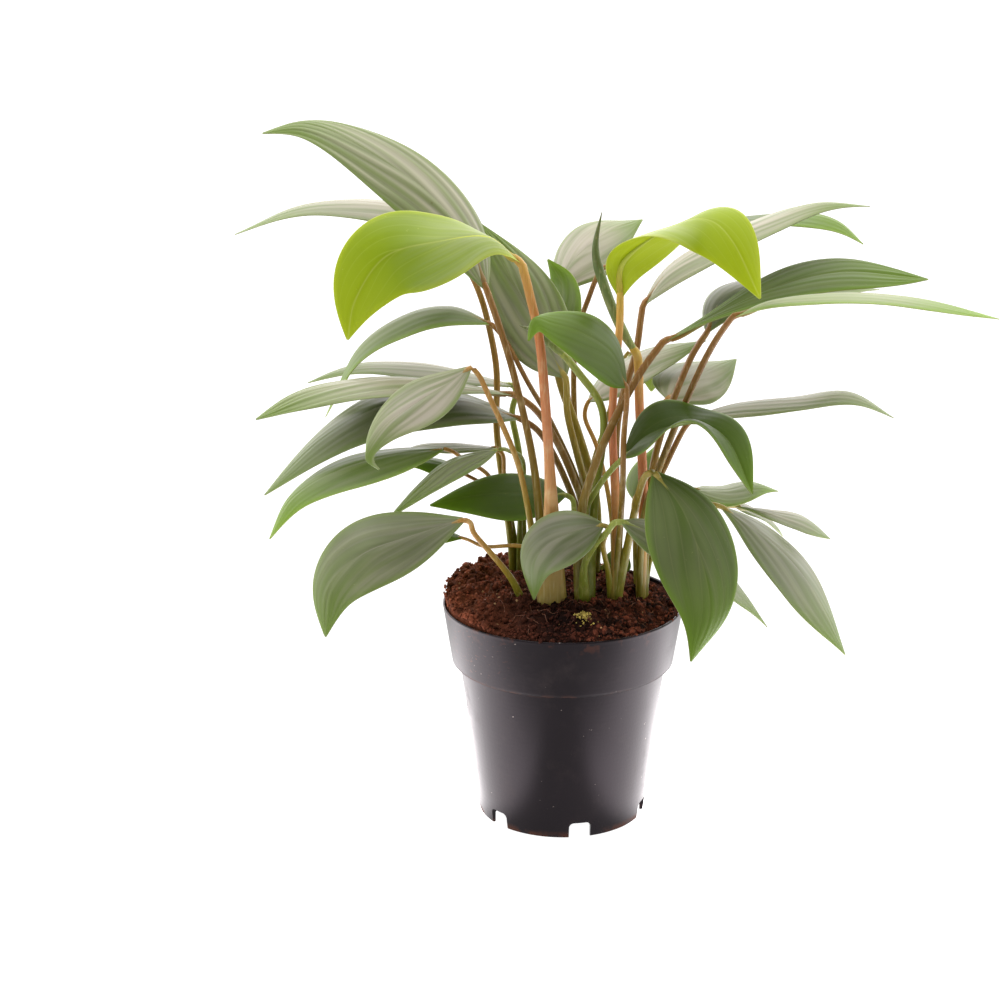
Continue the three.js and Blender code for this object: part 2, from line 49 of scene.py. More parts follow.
# Pot
RIM_RADIUS = 60
POT_HEIGHT = 110
COLLAR_RADIUS = 55.6
COLLAR_BOTTOM = 81.6
BODY_TOP_RADIUS = 51.5
BODY_TOP = 79
FOOT_RADIUS = 42
FOOT_RING = 1.8
WALL = 1.2
FLOOR_UNDER = 5.5
FLOOR_TOP = 7
PAD_RADIUS = 12
POT_SIDES = 160
NOTCHES = 6
NOTCH_WIDTH = 11
NOTCH_HEIGHT = 8.2
NOTCH_DEPTH = 12
NOTCH_CORNER = 2.4
FIRST_NOTCH = 12.8 - 90
BODY_RINGS = 24
COLLAR_RINGS = 10

# Soil. Its painted shade centres on the spot in front of the stems, a place in metres.
MOUND = 9
LEFT_EDGE = 8.5
RIGHT_FALL = 5
SOIL_SIDES = 220
SOIL_RINGS = 74
SOIL_REACH = 56
OVERHANG = 1.4
EDGE_BAND = 0.9
CRUMBS = 4000
LUMPS = 260
RIM_CRUMBS = 620
CHIPS = 90
MOSS_GRAINS = 110
FIBRES = 90
FIBRE_POINTS = 5
FIBRE_SIDES = 5
FIBRE_ROWS = 12
PAINTED_SHADE_SPOT = (-0.014, -0.044, 0.115)

# Leaves. A blade no wider than the small width has half the rows and columns. The half width of a blade
# is painted on it as a share of the half mark.
ROWS = 64
COLUMNS = 56
SMALL_WIDTH = 20
BLADE_EASING = 40
PLEATS = 3.0
USUAL_BELLY = 0.38
USUAL_TAPER = 1.05
USUAL_FOLD = -0.1
USUAL_LINED = 0.3
BLADE_EDGE = 0.34
BLADE_SWELL = 0.3
HALF_MARK = 30.0

# Petioles, midribs, the crowns of the shoots and rolled leaves
PETIOLE_ROWS = 60
PETIOLE_SIDES = 14
PETIOLE_EASING = 10
NECK = 4.4
NECK_LEAN = 1.3
NOSE = 3
ROOTED = 4.0
RIB_SHARE = 0.93
RIB_ROWS = 40
RIB_SIDES = 10
CROWN_ROWS = 30
CROWN_SIDES = 28
SPEAR_ROWS = 60
SPEAR_SIDES = 36
SPEAR_WINDING = 2.4
SPEAR_STEP = 0.16

# Each kind of leaf: its colours, how much paler its stripes are (painted sheen on the pleat ridges,
# painted shade in the vein creases), how much light passes through, how strong the grey sheen painted on
# its upper side is and where along the blade that ends, how strong its veins and midrib line are, the
# height of its pleats (relief), how far its veins run on along the blade (reach), and its gloss (ior and
# coat). The shaded kind is the mature colours painted darker as shade, with little gloss.
TONES = {
    "mature": dict(
        deep="#2d3c0c", bright="#5a7024", tip="#647e22", grey="#c0b2aa", vein="#8b9068", under="#7e8b54",
        glow="#9cb02c", streak=0.5, through=0.15, painted_sheen=0.64, sheen_end=1.1, veins=0.25, line=0.12,
        relief=0.5, reach=0.75, ior=1.45, coat=0.15),
    "dark": dict(
        deep="#3a4c10", bright="#5a761a", tip="#66861c", grey="#9a9588", vein="#7c8a40", under="#5f7626",
        glow="#a0c010", streak=0.3, through=0.19, painted_sheen=0.3, sheen_end=1.0, veins=0.3, line=0.12,
        relief=0.3, reach=0.8, ior=1.3, coat=0.0),
    "shaded": dict(
        deep="#2c3e0a", bright="#4a601a", tip="#5c7820", grey="#8a8474", vein="#7c8250", under="#5f7030",
        glow="#90a81c", streak=0.3, through=0.08, painted_sheen=0.4, sheen_end=1.1, veins=0.3, line=0.12,
        relief=0.4, reach=0.8, ior=1.18, coat=0.0),
    "fresh": dict(
        deep="#364a0a", bright="#64801e", tip="#76981c", grey="#bab4a0", vein="#a0a868", under="#84983e",
        glow="#a6c41e", streak=0.4, through=0.18, painted_sheen=0.5, sheen_end=0.95, veins=0.25, line=0.15,
        relief=0.4, reach=0.8, ior=1.4, coat=0.05),
    "lime": dict(
        deep="#688204", bright="#8ca012", tip="#a2b006", grey="#ccceb4", vein="#c8d064", under="#aab81c",
        glow="#c0d00c", streak=0.2, through=0.28, painted_sheen=0.95, sheen_end=0.66, veins=0.6, line=0.3,
        relief=0.2, reach=1.25, ior=1.33, coat=0.0),
}

# Studio
STUDIO_WHITE = (1.0, 0.955, 0.97)
WHITE_WALLS = 3.1
CEILING_LOSS = 1.0
FRONT_WALL = 0.15
FLOOR_GLOW = 5.6
FLOOR_GREY = 0.16
FLOOR_DIM = 0.178

# Camera: its place in metres, and degrees by which it looks down and turns to the left. The focal
# length is in pixels of the square picture.
PICTURE = 1000
FOCAL_PIXELS = 2390
SENSOR = 36
CAMERA_PLACE = (0, -1.126, 0.512)
LOOKS_DOWN = 17.24
TURNS_LEFT = 1.6

# Each shoot: where it stands, and the radius of its foot
SHOOTS = {
    "front": (-5, -22, 8), "left": (-20, -17, 4.5), "centre": (11, -20, 6.5), "mid_right": (25, -10, 6.5),
    "right": (38, 5, 7.5), "back_left": (-22, 25, 6.5), "back": (12, 24, 8),
}

# One entry a leaf. tone: its kind, and its slot in the record. look: the kind whose colours it has, where
# that is another; the shaded kind paints the leaf darker as shade. width: across both halves where it is
# widest, and belly: where along it that is.
# taper: how finely it is drawn out. rib: its midrib from the petiole to the tip. roll: degrees by which
# the left margin stands up along it. fold: rise of the halves. stalk: the way up from the shoot.
# thick: petiole radius under the blade. foot: its radius in the soil. petiole: its colours.
# light: how pale the blade is painted, partly its own colour and partly painted sheen where it catches
# the white walls; it also sets how strong its painted grey sheen is. lined: how strongly its pleats and
# stripes show.
LEAVES = {
    "top_left": dict(
        shoot="front", tone="mature", width=34, roll=(-40, -40, -30), fold=-0.12, thick=1.7,
        rib=((-38, -4, 270), (-47, 0, 293), (-70, 8, 317), (-101, 16, 336), (-126, 22, 344),
             (-147, 26, 339)),
        stalk=((-14, -15, 181), (-23, -9, 223), (-30, -6, 247)), petiole="brown", light=0.75, lined=1),
    "lime_left": dict(
        shoot="front", tone="lime", width=42, belly=0.52, roll=(10, -45, -80, -80), fold=-0.2, thick=2.1,
        rib=((-22, -24, 287), (-36, -27, 299), (-58, -32, 298), (-83, -38, 292), (-97, -44, 273),
             (-101, -46, 254)),
        stalk=((-6, -24, 166), (-8, -25, 203), (-12, -25, 250), (-17, -24, 271)), foot=6,
        petiole="orange", light=0.5),
    "far_left_thin": dict(
        shoot="back_left", tone="mature", width=34, roll=(-4, -6, -4), thick=1.5,
        rib=((-46, 30, 268), (-62, 34, 292), (-89, 40, 302), (-130, 48, 300), (-166, 54, 284)),
        stalk=((-26, 26, 134), (-34, 34, 186), (-34, 35, 220), (-40, 32, 252)), petiole="tan", light=0.9),
    "mid_left_green": dict(
        shoot="back", tone="fresh", width=35, roll=(-6, -8, 0), fold=-0.15, thick=1.2,
        rib=((-37, 20, 247), (-56, 22, 254), (-79, 26, 249), (-103, 26, 232), (-120, 30, 196)),
        stalk=((10, 18, 157), (-6, 16, 197), (-17, 16, 216), (-29, 18, 239)), petiole="brown",
        light=0.45),
    "mid_left_dark": dict(
        shoot="back_left", tone="dark", width=32, roll=(4, 0, -4), thick=1.5,
        rib=((-26, 46, 209), (-64, 50, 217), (-98, 54, 218), (-116, 54, 214), (-131, 52, 208)),
        stalk=((-21, 28, 155), (-23, 36, 178), (-27, 42, 197)), petiole="green", light=0.6,
        look="mature"),
    "striped_left": dict(
        shoot="back", tone="mature", width=36, belly=0.52, roll=(2, 0, -20), thick=1.7,
        rib=((-26, 6, 215), (-61, 4, 221), (-92, 0, 223), (-126, -4, 217), (-150, -8, 205)),
        stalk=((11, 12, 149), (1, 8, 181), (-12, 6, 205)), petiole="brown", light=0.9, lined=1),
    "curled_front_left": dict(
        shoot="front", tone="mature", width=25, taper=1.7, roll=(-35, -35, -35), thick=1.3,
        rib=((-45, -30, 237), (-54, -38, 232), (-67, -48, 226), (-83, -58, 216), (-92, -62, 202),
             (-86, -62, 196)),
        stalk=((-20, -18, 178), (-28, -22, 203), (-38, -27, 227)), petiole="tan", light=0.95),
    "under_left": dict(
        shoot="back", tone="mature", width=42, roll=(-10, -18, -18), thick=1.5,
        rib=((-23, 20, 199), (-52, 14, 210), (-87, 7, 209), (-119, 3, 192), (-148, 0, 164)),
        stalk=((8, 20, 146), (-2, 22, 173), (-12, 22, 191)), petiole="brown", light=0.3),
    "drooping_left": dict(
        shoot="back_left", tone="fresh", width=34, roll=(-6, -10, -14), thick=1.0,
        rib=((-59, -2, 189), (-83, -6, 187), (-109, -12, 181), (-132, -18, 168), (-143, -24, 149)),
        stalk=((-28, 25, 142), (-37, 24, 167), (-49, 8, 180)), petiole="tan", light=0.4),
    "edge_on_left": dict(
        shoot="back_left", tone="mature", width=26, roll=(8, 8, 0), thick=1.1,
        rib=((-34, 18, 184), (-57, 22, 185), (-77, 24, 182), (-88, 26, 169)),
        stalk=((-27, 26, 139), (-30, 22, 167)), petiole="tan", light=0.7),
    "small_left": dict(
        shoot="back_left", tone="dark", width=18, roll=(-10, -10, 0), thick=0.9,
        rib=((-51, 24, 169), (-62, 26, 173), (-73, 28, 174), (-81, 30, 170)),
        stalk=((-26, 28, 135), (-37, 26, 159)), petiole="brown", light=0.4),
    "narrow_left": dict(
        shoot="back_left", tone="dark", width=22, roll=(-6, -6, -6), fold=-0.2, thick=1.0,
        rib=((-33, -6, 190), (-53, -13, 186), (-70, -17, 174), (-85, -20, 159)),
        stalk=((-22, 24, 145), (-20, 20, 176), (-27, 5, 186)), petiole="green", light=0.35,
        look="mature", lined=1),
    "low_left": dict(
        shoot="left", tone="mature", width=36, belly=0.48, roll=(-50, -50, -45), thick=1.3,
        rib=((-48, -34, 163), (-73, -42, 157), (-96, -50, 150), (-111, -56, 134), (-113, -60, 112)),
        stalk=((-26, -24, 131), (-36, -30, 146), (-44, -33, 157)), petiole="tan", light=0.5),
    "tiny_left": dict(
        shoot="front", tone="dark", width=14, roll=(-10, -10, 0), thick=0.9,
        rib=((-50, -4, 144), (-59, -2, 145), (-69, 0, 141), (-77, 2, 134)),
        stalk=((-11, -14, 137), (-21, -10, 142), (-39, -6, 140)), petiole="tan", light=0.4),
    "dark_centre": dict(
        shoot="centre", tone="dark", width=30, roll=(-35, -35, -30), thick=1.3,
        rib=((1, 5, 164), (-22, 4, 165), (-44, 2, 164), (-66, -2, 160)),
        stalk=((7, -8, 143), (5, 2, 157)), petiole="green", light=0.1, lined=0.2),
    "front_centre": dict(
        shoot="mid_right", tone="mature", width=28, belly=0.4, roll=(-55, -55, -40), thick=1.2,
        rib=((19, -34, 161), (7, -40, 160), (-7, -42, 154), (-15, -40, 142), (-14, -38, 124)),
        stalk=((22, -19, 132), (19, -30, 150)), petiole="olive", light=0.4, lined=0.2),
    "front_right": dict(
        shoot="mid_right", tone="mature", width=44, belly=0.42, roll=(10, 0, -10), fold=-0.15, thick=1.7,
        rib=((43, -40, 189), (56, -56, 175), (65, -70, 153), (68, -78, 131), (60, -80, 109)),
        stalk=((30, -16, 137), (34, -27, 165), (37, -35, 182)), petiole="olive", light=0.45, lined=0.5,
        look="shaded"),
    "behind_front_right": dict(
        shoot="centre", tone="mature", width=32, roll=(30, 20, 10), thick=1.5,
        rib=((28, -38, 164), (46, -38, 157), (71, -34, 143), (88, -28, 124), (100, -24, 106)),
        stalk=((10, -28, 137), (15, -32, 150), (22, -36, 159)), petiole="green", light=0.5),
    "right_drooping": dict(
        shoot="right", tone="mature", width=38, belly=0.5, roll=(15, 15, 10), fold=-0.12, thick=1.4,
        rib=((79, 8, 157), (95, 6, 147), (115, 2, 129), (130, -2, 107), (141, -6, 85)),
        stalk=((43, 6, 141), (63, 8, 157)), petiole="olive", light=0.5),
    "right_narrow": dict(
        shoot="right", tone="mature", width=24, belly=0.6, roll=(0, 6, 6), thick=1.2,
        rib=((87, 30, 151), (107, 32, 147), (124, 34, 142), (136, 36, 132)),
        stalk=((46, 14, 135), (66, 24, 150)), petiole="olive", light=0.7),
    "right_pale": dict(
        shoot="right", tone="mature", width=26, roll=(0, 0, 0), thick=1.2,
        rib=((81, 46, 151), (95, 50, 145), (107, 54, 136), (114, 58, 126)),
        stalk=((44, 18, 134), (64, 36, 149)), petiole="olive", light=0.8),
    "right_light": dict(
        shoot="right", tone="fresh", width=30, roll=(4, 4, 0), thick=1.2,
        rib=((66, 32, 159), (82, 34, 158), (97, 38, 160), (109, 40, 156)),
        stalk=((41, 12, 136), (53, 24, 153)), petiole="olive", light=0.7),
    "right_folded": dict(
        shoot="centre", tone="dark", width=40, belly=0.36, roll=(24, 30, -10, 15, 30), fold=0.36,
        thick=1.4,
        rib=((29, -20, 191), (39, -26, 203), (52, -32, 210), (65, -36, 212), (78, -40, 204),
             (89, -44, 180)),
        stalk=((10, -16, 158), (16, -21, 175), (23, -21, 185)), petiole="green", light=0.1, lined=0.2,
        look="shaded"),
    "right_long_thin": dict(
        shoot="right", tone="mature", width=34, roll=(-4, -4, 6), thick=1.4,
        rib=((65, 14, 202), (86, 16, 208), (116, 18, 211), (141, 20, 213), (163, 22, 200)),
        stalk=((42, 10, 155), (51, 12, 179), (58, 14, 194)), petiole="brown", light=0.8),
    "right_grey": dict(
        shoot="centre", tone="mature", width=38, belly=0.62, roll=(-6, 10, 18), fold=0.1, thick=1.8,
        rib=((48, -14, 247), (72, -2, 257), (100, 8, 268), (135, 18, 274), (177, 26, 269)),
        stalk=((8, -24, 160), (17, -24, 194), (32, -20, 226)), petiole="brown", light=0.5,
        look="shaded", lined=0.6),
    "right_longest": dict(
        shoot="right", tone="fresh", width=32, belly=0.5, roll=(-6, -4, 0), fold=-0.05, thick=1.6,
        rib=((80, -26, 262), (98, -28, 270), (133, -26, 273), (169, -22, 269), (205, -16, 259)),
        stalk=((39, -4, 154), (50, -8, 193), (66, -18, 238)), petiole="brown", light=0.9),
    "right_back_grey": dict(
        shoot="right", tone="mature", width=34, roll=(10, 10, 0), thick=1.6,
        rib=((70, 24, 243), (77, 34, 256), (97, 50, 261), (129, 70, 257), (162, 90, 250)),
        stalk=((40, 8, 150), (47, 14, 190), (62, 20, 231)), petiole="brown", light=0.3),
    "top_right": dict(
        shoot="mid_right", tone="mature", width=30, roll=(8, 6, 0), thick=1.6,
        rib=((39, 20, 258), (50, 22, 273), (70, 26, 285), (99, 32, 297), (124, 38, 304),
             (149, 42, 302)),
        stalk=((26, -4, 149), (26, 8, 201), (35, 16, 234)), petiole="brown", light=0.95),
    "top_right_light": dict(
        shoot="back", tone="fresh", width=34, belly=0.6, roll=(-10, -10, 15), thick=1.3,
        rib=((19, 54, 268), (42, 60, 282), (82, 66, 291), (118, 70, 293), (137, 70, 289),
             (150, 68, 278)),
        stalk=((14, 28, 144), (6, 46, 181), (5, 62, 227), (12, 62, 251)), petiole="brown", light=0.1),
    "lime_right": dict(
        shoot="mid_right", tone="lime", width=38, belly=0.45, roll=(-80, -17, 45, 50), thick=1.8,
        rib=((26, -14, 269), (27, -18, 286), (43, -24, 301), (63, -32, 309), (76, -42, 301),
             (89, -52, 276)),
        stalk=((26, -16, 153), (23, -14, 210), (26, -14, 254)), petiole="pink", light=1),
    "centre_front": dict(
        shoot="mid_right", tone="fresh", width=31, belly=0.36, roll=(-50, -50, -30), thick=1.3,
        rib=((29, -28, 228), (22, -36, 246), (8, -42, 257), (-6, -44, 262), (-14, -45, 264),
             (-17, -46, 254)),
        stalk=((27, -19, 146), (28, -37, 182), (28, -39, 206)), petiole="brown", light=0.35,
        look="dark"),
    "centre_dark": dict(
        shoot="back", tone="dark", width=36, roll=(-60, -60, -55), thick=1.6,
        rib=((0, 18, 221), (-12, 20, 241), (-23, 24, 263), (-35, 30, 282), (-43, 36, 294)),
        stalk=((13, 16, 153), (7, 14, 180), (1, 16, 204)), petiole="olive", light=0.62,
        look="mature", lined=1),
    "centre_back": dict(
        shoot="back", tone="fresh", width=22, roll=(-50, -50, -50), thick=2.0,
        rib=((-5, 34, 233), (-2, 38, 249), (-2, 44, 262), (-9, 50, 273)),
        stalk=((16, 24, 155), (7, 28, 189), (-2, 32, 213)), petiole="olive", light=0.5),
    "back_top": dict(
        shoot="back", tone="mature", width=42, belly=0.48, roll=(25, 25, 12), thick=1.3,
        rib=((-5, 70, 252), (5, 74, 269), (21, 79, 281), (39, 84, 287)),
        stalk=((12, 34, 158), (4, 52, 190), (-4, 66, 228)), petiole="brown", light=1),
    "back_grey": dict(
        shoot="mid_right", tone="mature", width=32, roll=(10, 10, 10), thick=1.1,
        rib=((12, 38, 203), (25, 42, 215), (45, 48, 225), (71, 54, 231)),
        stalk=((24, 6, 151), (17, 26, 181), (10, 36, 194)), petiole="tan", light=1),
    "back_light_tip": dict(
        shoot="back", tone="fresh", width=20, roll=(0, -20, -45), thick=1.0,
        rib=((33, 66, 221), (41, 72, 218), (45, 76, 209), (45, 78, 198)),
        stalk=((13, 38, 162), (22, 58, 189)), petiole="olive", light=0.9),
    "back_right_short": dict(
        shoot="right", tone="mature", width=36, roll=(20, 20, 10), thick=1.3,
        rib=((51, 26, 208), (60, 40, 213), (73, 56, 215), (88, 72, 217)),
        stalk=((42, 14, 154), (47, 20, 188)), petiole="tan", light=1),
    "low_back": dict(
        shoot="back", tone="dark", width=16, roll=(-30, -30, -30), thick=0.9,
        rib=((32, 20, 129), (27, 17, 125), (23, 14, 119)),
        stalk=((24, 26, 122), (30, 24, 129)), petiole="green", light=0.4),
    "back_right_green": dict(
        shoot="right", tone="fresh", width=20, roll=(0, 0, 0), thick=1.1,
        rib=((36, 40, 151), (39, 46, 159), (43, 52, 167), (47, 58, 174)),
        stalk=((36, 16, 134), (36, 32, 144)), petiole="olive", light=0.5),
}

# Leaves still rolled up in a spear: the line of the spear and its greatest radius
SPEARS = {
    "spear": dict(
        shoot="right", thick=2.2, petiole="pink",
        line=((34, -6, 239), (27, -8, 251), (19, -8, 270), (14, -6, 289), (17, -2, 307)),
        stalk=((39, 0, 163), (36, -4, 215))),
    "spear_left": dict(
        shoot="centre", thick=1.8, petiole="green",
        line=((0, -10, 238), (-8, -10, 245), (-14, -10, 250), (-22, -10, 253)),
        stalk=((15, -14, 167), (19, -12, 210), (7, -10, 229))),
}

# Petiole colours from the soil up to the blade
PETIOLES = {
    "brown": ("#6a661a", "#70641a", "#6e561a", "#6c4c1a", "#805a28"),
    "orange": ("#8a7c38", "#a8824a", "#a86e46", "#a46436", "#a88838"),
    "pink": ("#6c6c1e", "#a47638", "#b46e46", "#b47646", "#b49a34"),
    "tan": ("#68681a", "#7a721e", "#8a6c22", "#906a28", "#9a7436"),
    "green": ("#62661a", "#68701a", "#6c7420", "#747e2a", "#869046"),
    "olive": ("#6c6a1c", "#74701c", "#786c1c", "#806e22", "#8a7c38"),
}


def linear(code):
    """A hex colour as linear red, green and blue."""
    shares = [int(code[i:i + 2], 16) / 255 for i in (1, 3, 5)]
    return tuple(s / 12.92 if s <= 0.04045 else ((s + 0.055) / 1.055) ** 2.4 for s in shares)


def lerp(a, b, t):
    return a + (b - a) * t


def smooth(x, low, high):
    t = np.clip((x - low) / (high - low), 0, 1)
    return t * t * (3 - 2 * t)


def unit(vectors):
    return vectors / np.linalg.norm(vectors, axis=-1, keepdims=True)


class Line:
    """A smooth curve through its points, walked by its length from 0 to 1."""

    def __init__(self, points):
        self.points = np.array(points, float)
        steps = np.linspace(0, 1, LINE_STEPS)
        spots = self.at_step(steps)[0]
        lengths = np.linalg.norm(np.diff(spots, axis=0), axis=1)
        self.walked = np.concatenate([[0], np.cumsum(lengths)])
        self.length = self.walked[-1]
        self.steps = steps

    def at_step(self, steps):
        p = self.points
        spans = len(p) - 1
        along = np.clip(steps, 0, 1) * spans
        i = np.minimum(along.astype(int), spans - 1)
        t = (along - i)[:, None]
        before = np.where((i > 0)[:, None], p[np.maximum(i - 1, 0)], 2 * p[0] - p[1])
        after = np.where((i + 2 <= spans)[:, None], p[np.minimum(i + 2, spans)], 2 * p[-1] - p[-2])
        start, end = p[i], p[i + 1]
        lead, trail = 0.5 * (end - before), 0.5 * (after - start)
        square = -3 * start + 3 * end - 2 * lead - trail
        cube = 2 * start - 2 * end + lead + trail
        spots = start + lead * t + square * t ** 2 + cube * t ** 3
        return spots, lead + 2 * square * t + 3 * cube * t ** 2

    def walk(self, shares):
        """Points and directions at these shares of the length."""
        steps = np.interp(np.asarray(shares) * self.length, self.walked, self.steps)
        spots, ways = self.at_step(steps)
        return spots, unit(ways)


def leftness(x, y, reach):
    """How far round to the left, and a little to the back, a spot on the soil lies, from 0 to 1."""
    return max(0, (-0.9 * x + 0.45 * y) / (reach + 1))


def soil_height(x, y):
    """Height of the mounded soil without its crumbs: full at the left and low at the right."""
    reach = math.hypot(x, y)
    over = lerp(MOUND, LEFT_EDGE * leftness(x, y, reach), (reach / RIM_RADIUS) ** 3)
    lumps = 0.7 * math.sin(x * 0.31 + 1) * math.cos(y * 0.27) + 0.5 * math.sin(x * 0.13 - y * 0.21)
    return POT_HEIGHT + over - RIGHT_FALL * float(smooth(x, 12, 50)) + lumps


# Materials

class Wire:
    """A node's output that ordinary sums work on."""

    def __init__(self, finish, socket):
        self.finish = finish
        self.socket = socket

    def sum(self, operation, *values):
        return self.finish.node("ShaderNodeMath", {"operation": operation}, values)

    def __add__(self, other):
        return self.sum("ADD", self, other)

    def __sub__(self, other):
        return self.sum("SUBTRACT", self, other)

    def __rsub__(self, other):
        return self.sum("SUBTRACT", other, self)

    def __mul__(self, other):
        return self.sum("MULTIPLY", self, other)

    def __abs__(self):
        return self.sum("ABSOLUTE", self)

    __radd__ = __add__
    __rmul__ = __mul__

    def sine(self):
        return self.sum("SINE", self)

    def part(self, i):
        """Another output of the same node."""
        return Wire(self.finish, self.socket.node.outputs[i])

    def between(self, low, high):
        """0 below low and 1 above high, or the other way round where low is the greater."""
        settings = {"interpolation_type": "SMOOTHSTEP"}
        if low < high:
            return self.finish.node("ShaderNodeMapRange", settings, (self, low, high, 0.0, 1.0))
        return self.finish.node("ShaderNodeMapRange", settings, (self, high, low, 1.0, 0.0))


class Finish:
    """The nodes of a material, or of the world, under construction."""

    def __init__(self, name, owner=None):
        self.owner = owner or bpy.data.materials.new(name)
        self.owner.use_nodes = True
        self.tree = self.owner.node_tree
        self.tree.nodes.clear()

    def node(self, kind, settings=None, values=(), out=0, **named):
        made = self.tree.nodes.new(kind)
        for key, setting in (settings or {}).items():
            setattr(made, key, setting)
        for i, value in enumerate(values):
            self.feed(made.inputs[i], value)
        for key, value in named.items():
            self.feed(made.inputs[key.replace("_", " ")], value)
        return Wire(self, made.outputs[out])

    def feed(self, socket, value):
        if isinstance(value, Wire):
            self.tree.links.new(value.socket, socket)
        elif isinstance(value, tuple) and socket.type == "RGBA":
            socket.default_value = (*value[:3], 1)
        else:
            socket.default_value = value

    def mix(self, first, second, share):
        """The colour that lies this share of the way from the first to the second."""
        made = self.tree.nodes.new("ShaderNodeMix")
        made.data_type = "RGBA"
        for i, value in ((0, share), (6, first), (7, second)):
            self.feed(made.inputs[i], value)
        return Wire(self, made.outputs[2])

    def place(self):
        return self.node("ShaderNodeTexCoord", out="Object")

    def noise(self, scale, detail=3.0, rough=0.55, place=None):
        return self.node("ShaderNodeTexNoise", None, Vector=place or self.place(), Scale=scale,
                         Detail=detail, Roughness=rough)

    def bump(self, height, distance, strength):
        return self.node("ShaderNodeBump", None, Height=height, Distance=distance, Strength=strength)

    def done(self, shader, end="ShaderNodeOutputMaterial"):
        made = self.tree.nodes.new(end)
        self.tree.links.new(shader.socket, made.inputs["Surface"])
        return self.owner


def leaf_finish(name):
    """Pleated leaf skin: veins arch from the midrib to the tip, with a fine pale rib and margin."""
    f = Finish("leaf_" + name)
    tone = TONES[name]
    deep, bright, tip, grey, vein, under = (
        linear(tone[key]) for key in ("deep", "bright", "tip", "grey", "vein", "under"))
    flat = f.node("ShaderNodeUVMap", {"uv_map": "UVMap"})
    parts = f.node("ShaderNodeSeparateXYZ", None, (flat,))
    sideways = abs(parts * 2.0 - 1.0)
    along = parts.part(1)
    marks = f.node("ShaderNodeAttribute", {"attribute_name": "leaf"})
    split = f.node("ShaderNodeSeparateColor", None, (marks,))
    half, face, light = split * HALF_MARK, split.part(1), split.part(2)
    stem = f.node("ShaderNodeAttribute", {"attribute_name": "stem"})
    patches = f.noise(30.0, 3.0)
    run = along * tone["reach"] - sideways * (1.0 + 0.2 * sideways)
    ribs = abs((run * (math.pi * PLEATS)).sine())
    wander = run + 0.03 * f.noise(24.0, 2.0)
    threads = abs((wander * (math.pi * PLEATS * 9)).sine())
    which_half = parts.between(0.49, 0.51)
    flow = f.node("ShaderNodeCombineXYZ", None, (run * 3.4, along * 1.2, light * 37.0 + which_half * 5.0))
    streaks = f.noise(1.0, 2.0, 0.5, place=flow).between(0.34, 0.66)
    from_rib = sideways * half
    from_edge = (1.0 - sideways) * half
    lined = stem.part(3)
    # The stripes are painted paler on the pleat ridges as sheen and darker in the vein creases as shade;
    # light paints the whole blade paler, partly as sheen.
    pale = 0.6 * light + tone["streak"] * lined * ribs + 0.5 * patches - 0.25
    skin = f.mix(deep, bright, pale.between(0.0, 1.0))
    # Painted sheen: grey streaks on the upper side where it would reflect the white walls, fading out
    # towards the tip.
    sheen = (0.33 + 0.62 * streaks) * light * along.between(tone["sheen_end"], tone["sheen_end"] - 0.45)
    skin = f.mix(skin, grey, sheen * tone["painted_sheen"])
    skin = f.mix(skin, vein, (1.0 - ribs).between(0.75, 1.0) * lined * tone["veins"])
    skin = f.mix(skin, tip, from_edge.between(4.0, 0.0) * 0.5)
    skin = f.mix(skin, tip, along.between(0.45, 1.0) * 0.6)
    skin = f.mix(skin, vein, from_rib.between(0.6, 0.15) * tone["line"])
    lower = f.mix(under, vein, (1.0 - ribs).between(0.85, 1.0) * 0.3)
    skin = f.mix(lower, skin, face)
    skin = f.mix(skin, vein, from_edge.between(0.4, 0.1) * 0.6)
    specks = f.noise(520.0, 1.0).between(0.76, 0.82)
    skin = f.mix(skin, vein, specks * 0.3)
    blemish = f.noise(85.0, 2.0).between(0.8, 0.84)
    skin = f.mix(skin, linear("#5a3a22"), blemish * 0.7)
    skin = f.mix(skin, stem, marks.part(3))
    relief = streaks * 0.3 + threads * 0.06 + f.noise(260.0, 4.0) * 0.35
    normal = f.bump(relief, 0.00015, 0.5)
    leaf = f.node("ShaderNodeBsdfPrincipled", None, Base_Color=skin,
                  Roughness=0.35 + 0.1 * streaks + 0.12 * patches, IOR=tone["ior"],
                  Coat_Weight=tone["coat"], Coat_Roughness=0.4, Normal=normal)
    glowing = f.node("ShaderNodeBsdfTranslucent", None, Color=linear(tone["glow"]))
    return f.done(f.node("ShaderNodeMixShader", None, (tone["through"], leaf, glowing)))


def stalk_finish():
    """Petioles: their own colour along them, streaked lengthwise, with a satin skin."""
    f = Finish("petiole_skin")
    own = f.node("ShaderNodeAttribute", {"attribute_name": "stem"})
    place = f.place()
    drawn = f.node("ShaderNodeMapping", None, Vector=place, Scale=Vector((1, 1, 0.08)))
    streaks = f.noise(900.0, 3.0, place=drawn)
    patches = f.noise(90.0, 3.0)
    skin = f.mix(own, linear("#4a3814"), streaks.between(0.5, 0.75) * 0.3)
    skin = f.mix(skin, linear("#d9cf9d"), streaks.between(0.45, 0.3) * 0.15)
    skin = f.mix(skin, linear("#d9cf9d"), patches.between(0.55, 0.8) * 0.2)
    normal = f.bump(streaks, 0.00025, 0.4)
    return f.done(f.node("ShaderNodeBsdfPrincipled", None, Base_Color=skin,
                         Roughness=0.36 + 0.12 * patches, IOR=1.35, Subsurface_Weight=0.12,
                         Subsurface_Scale=0.0015, Normal=normal))


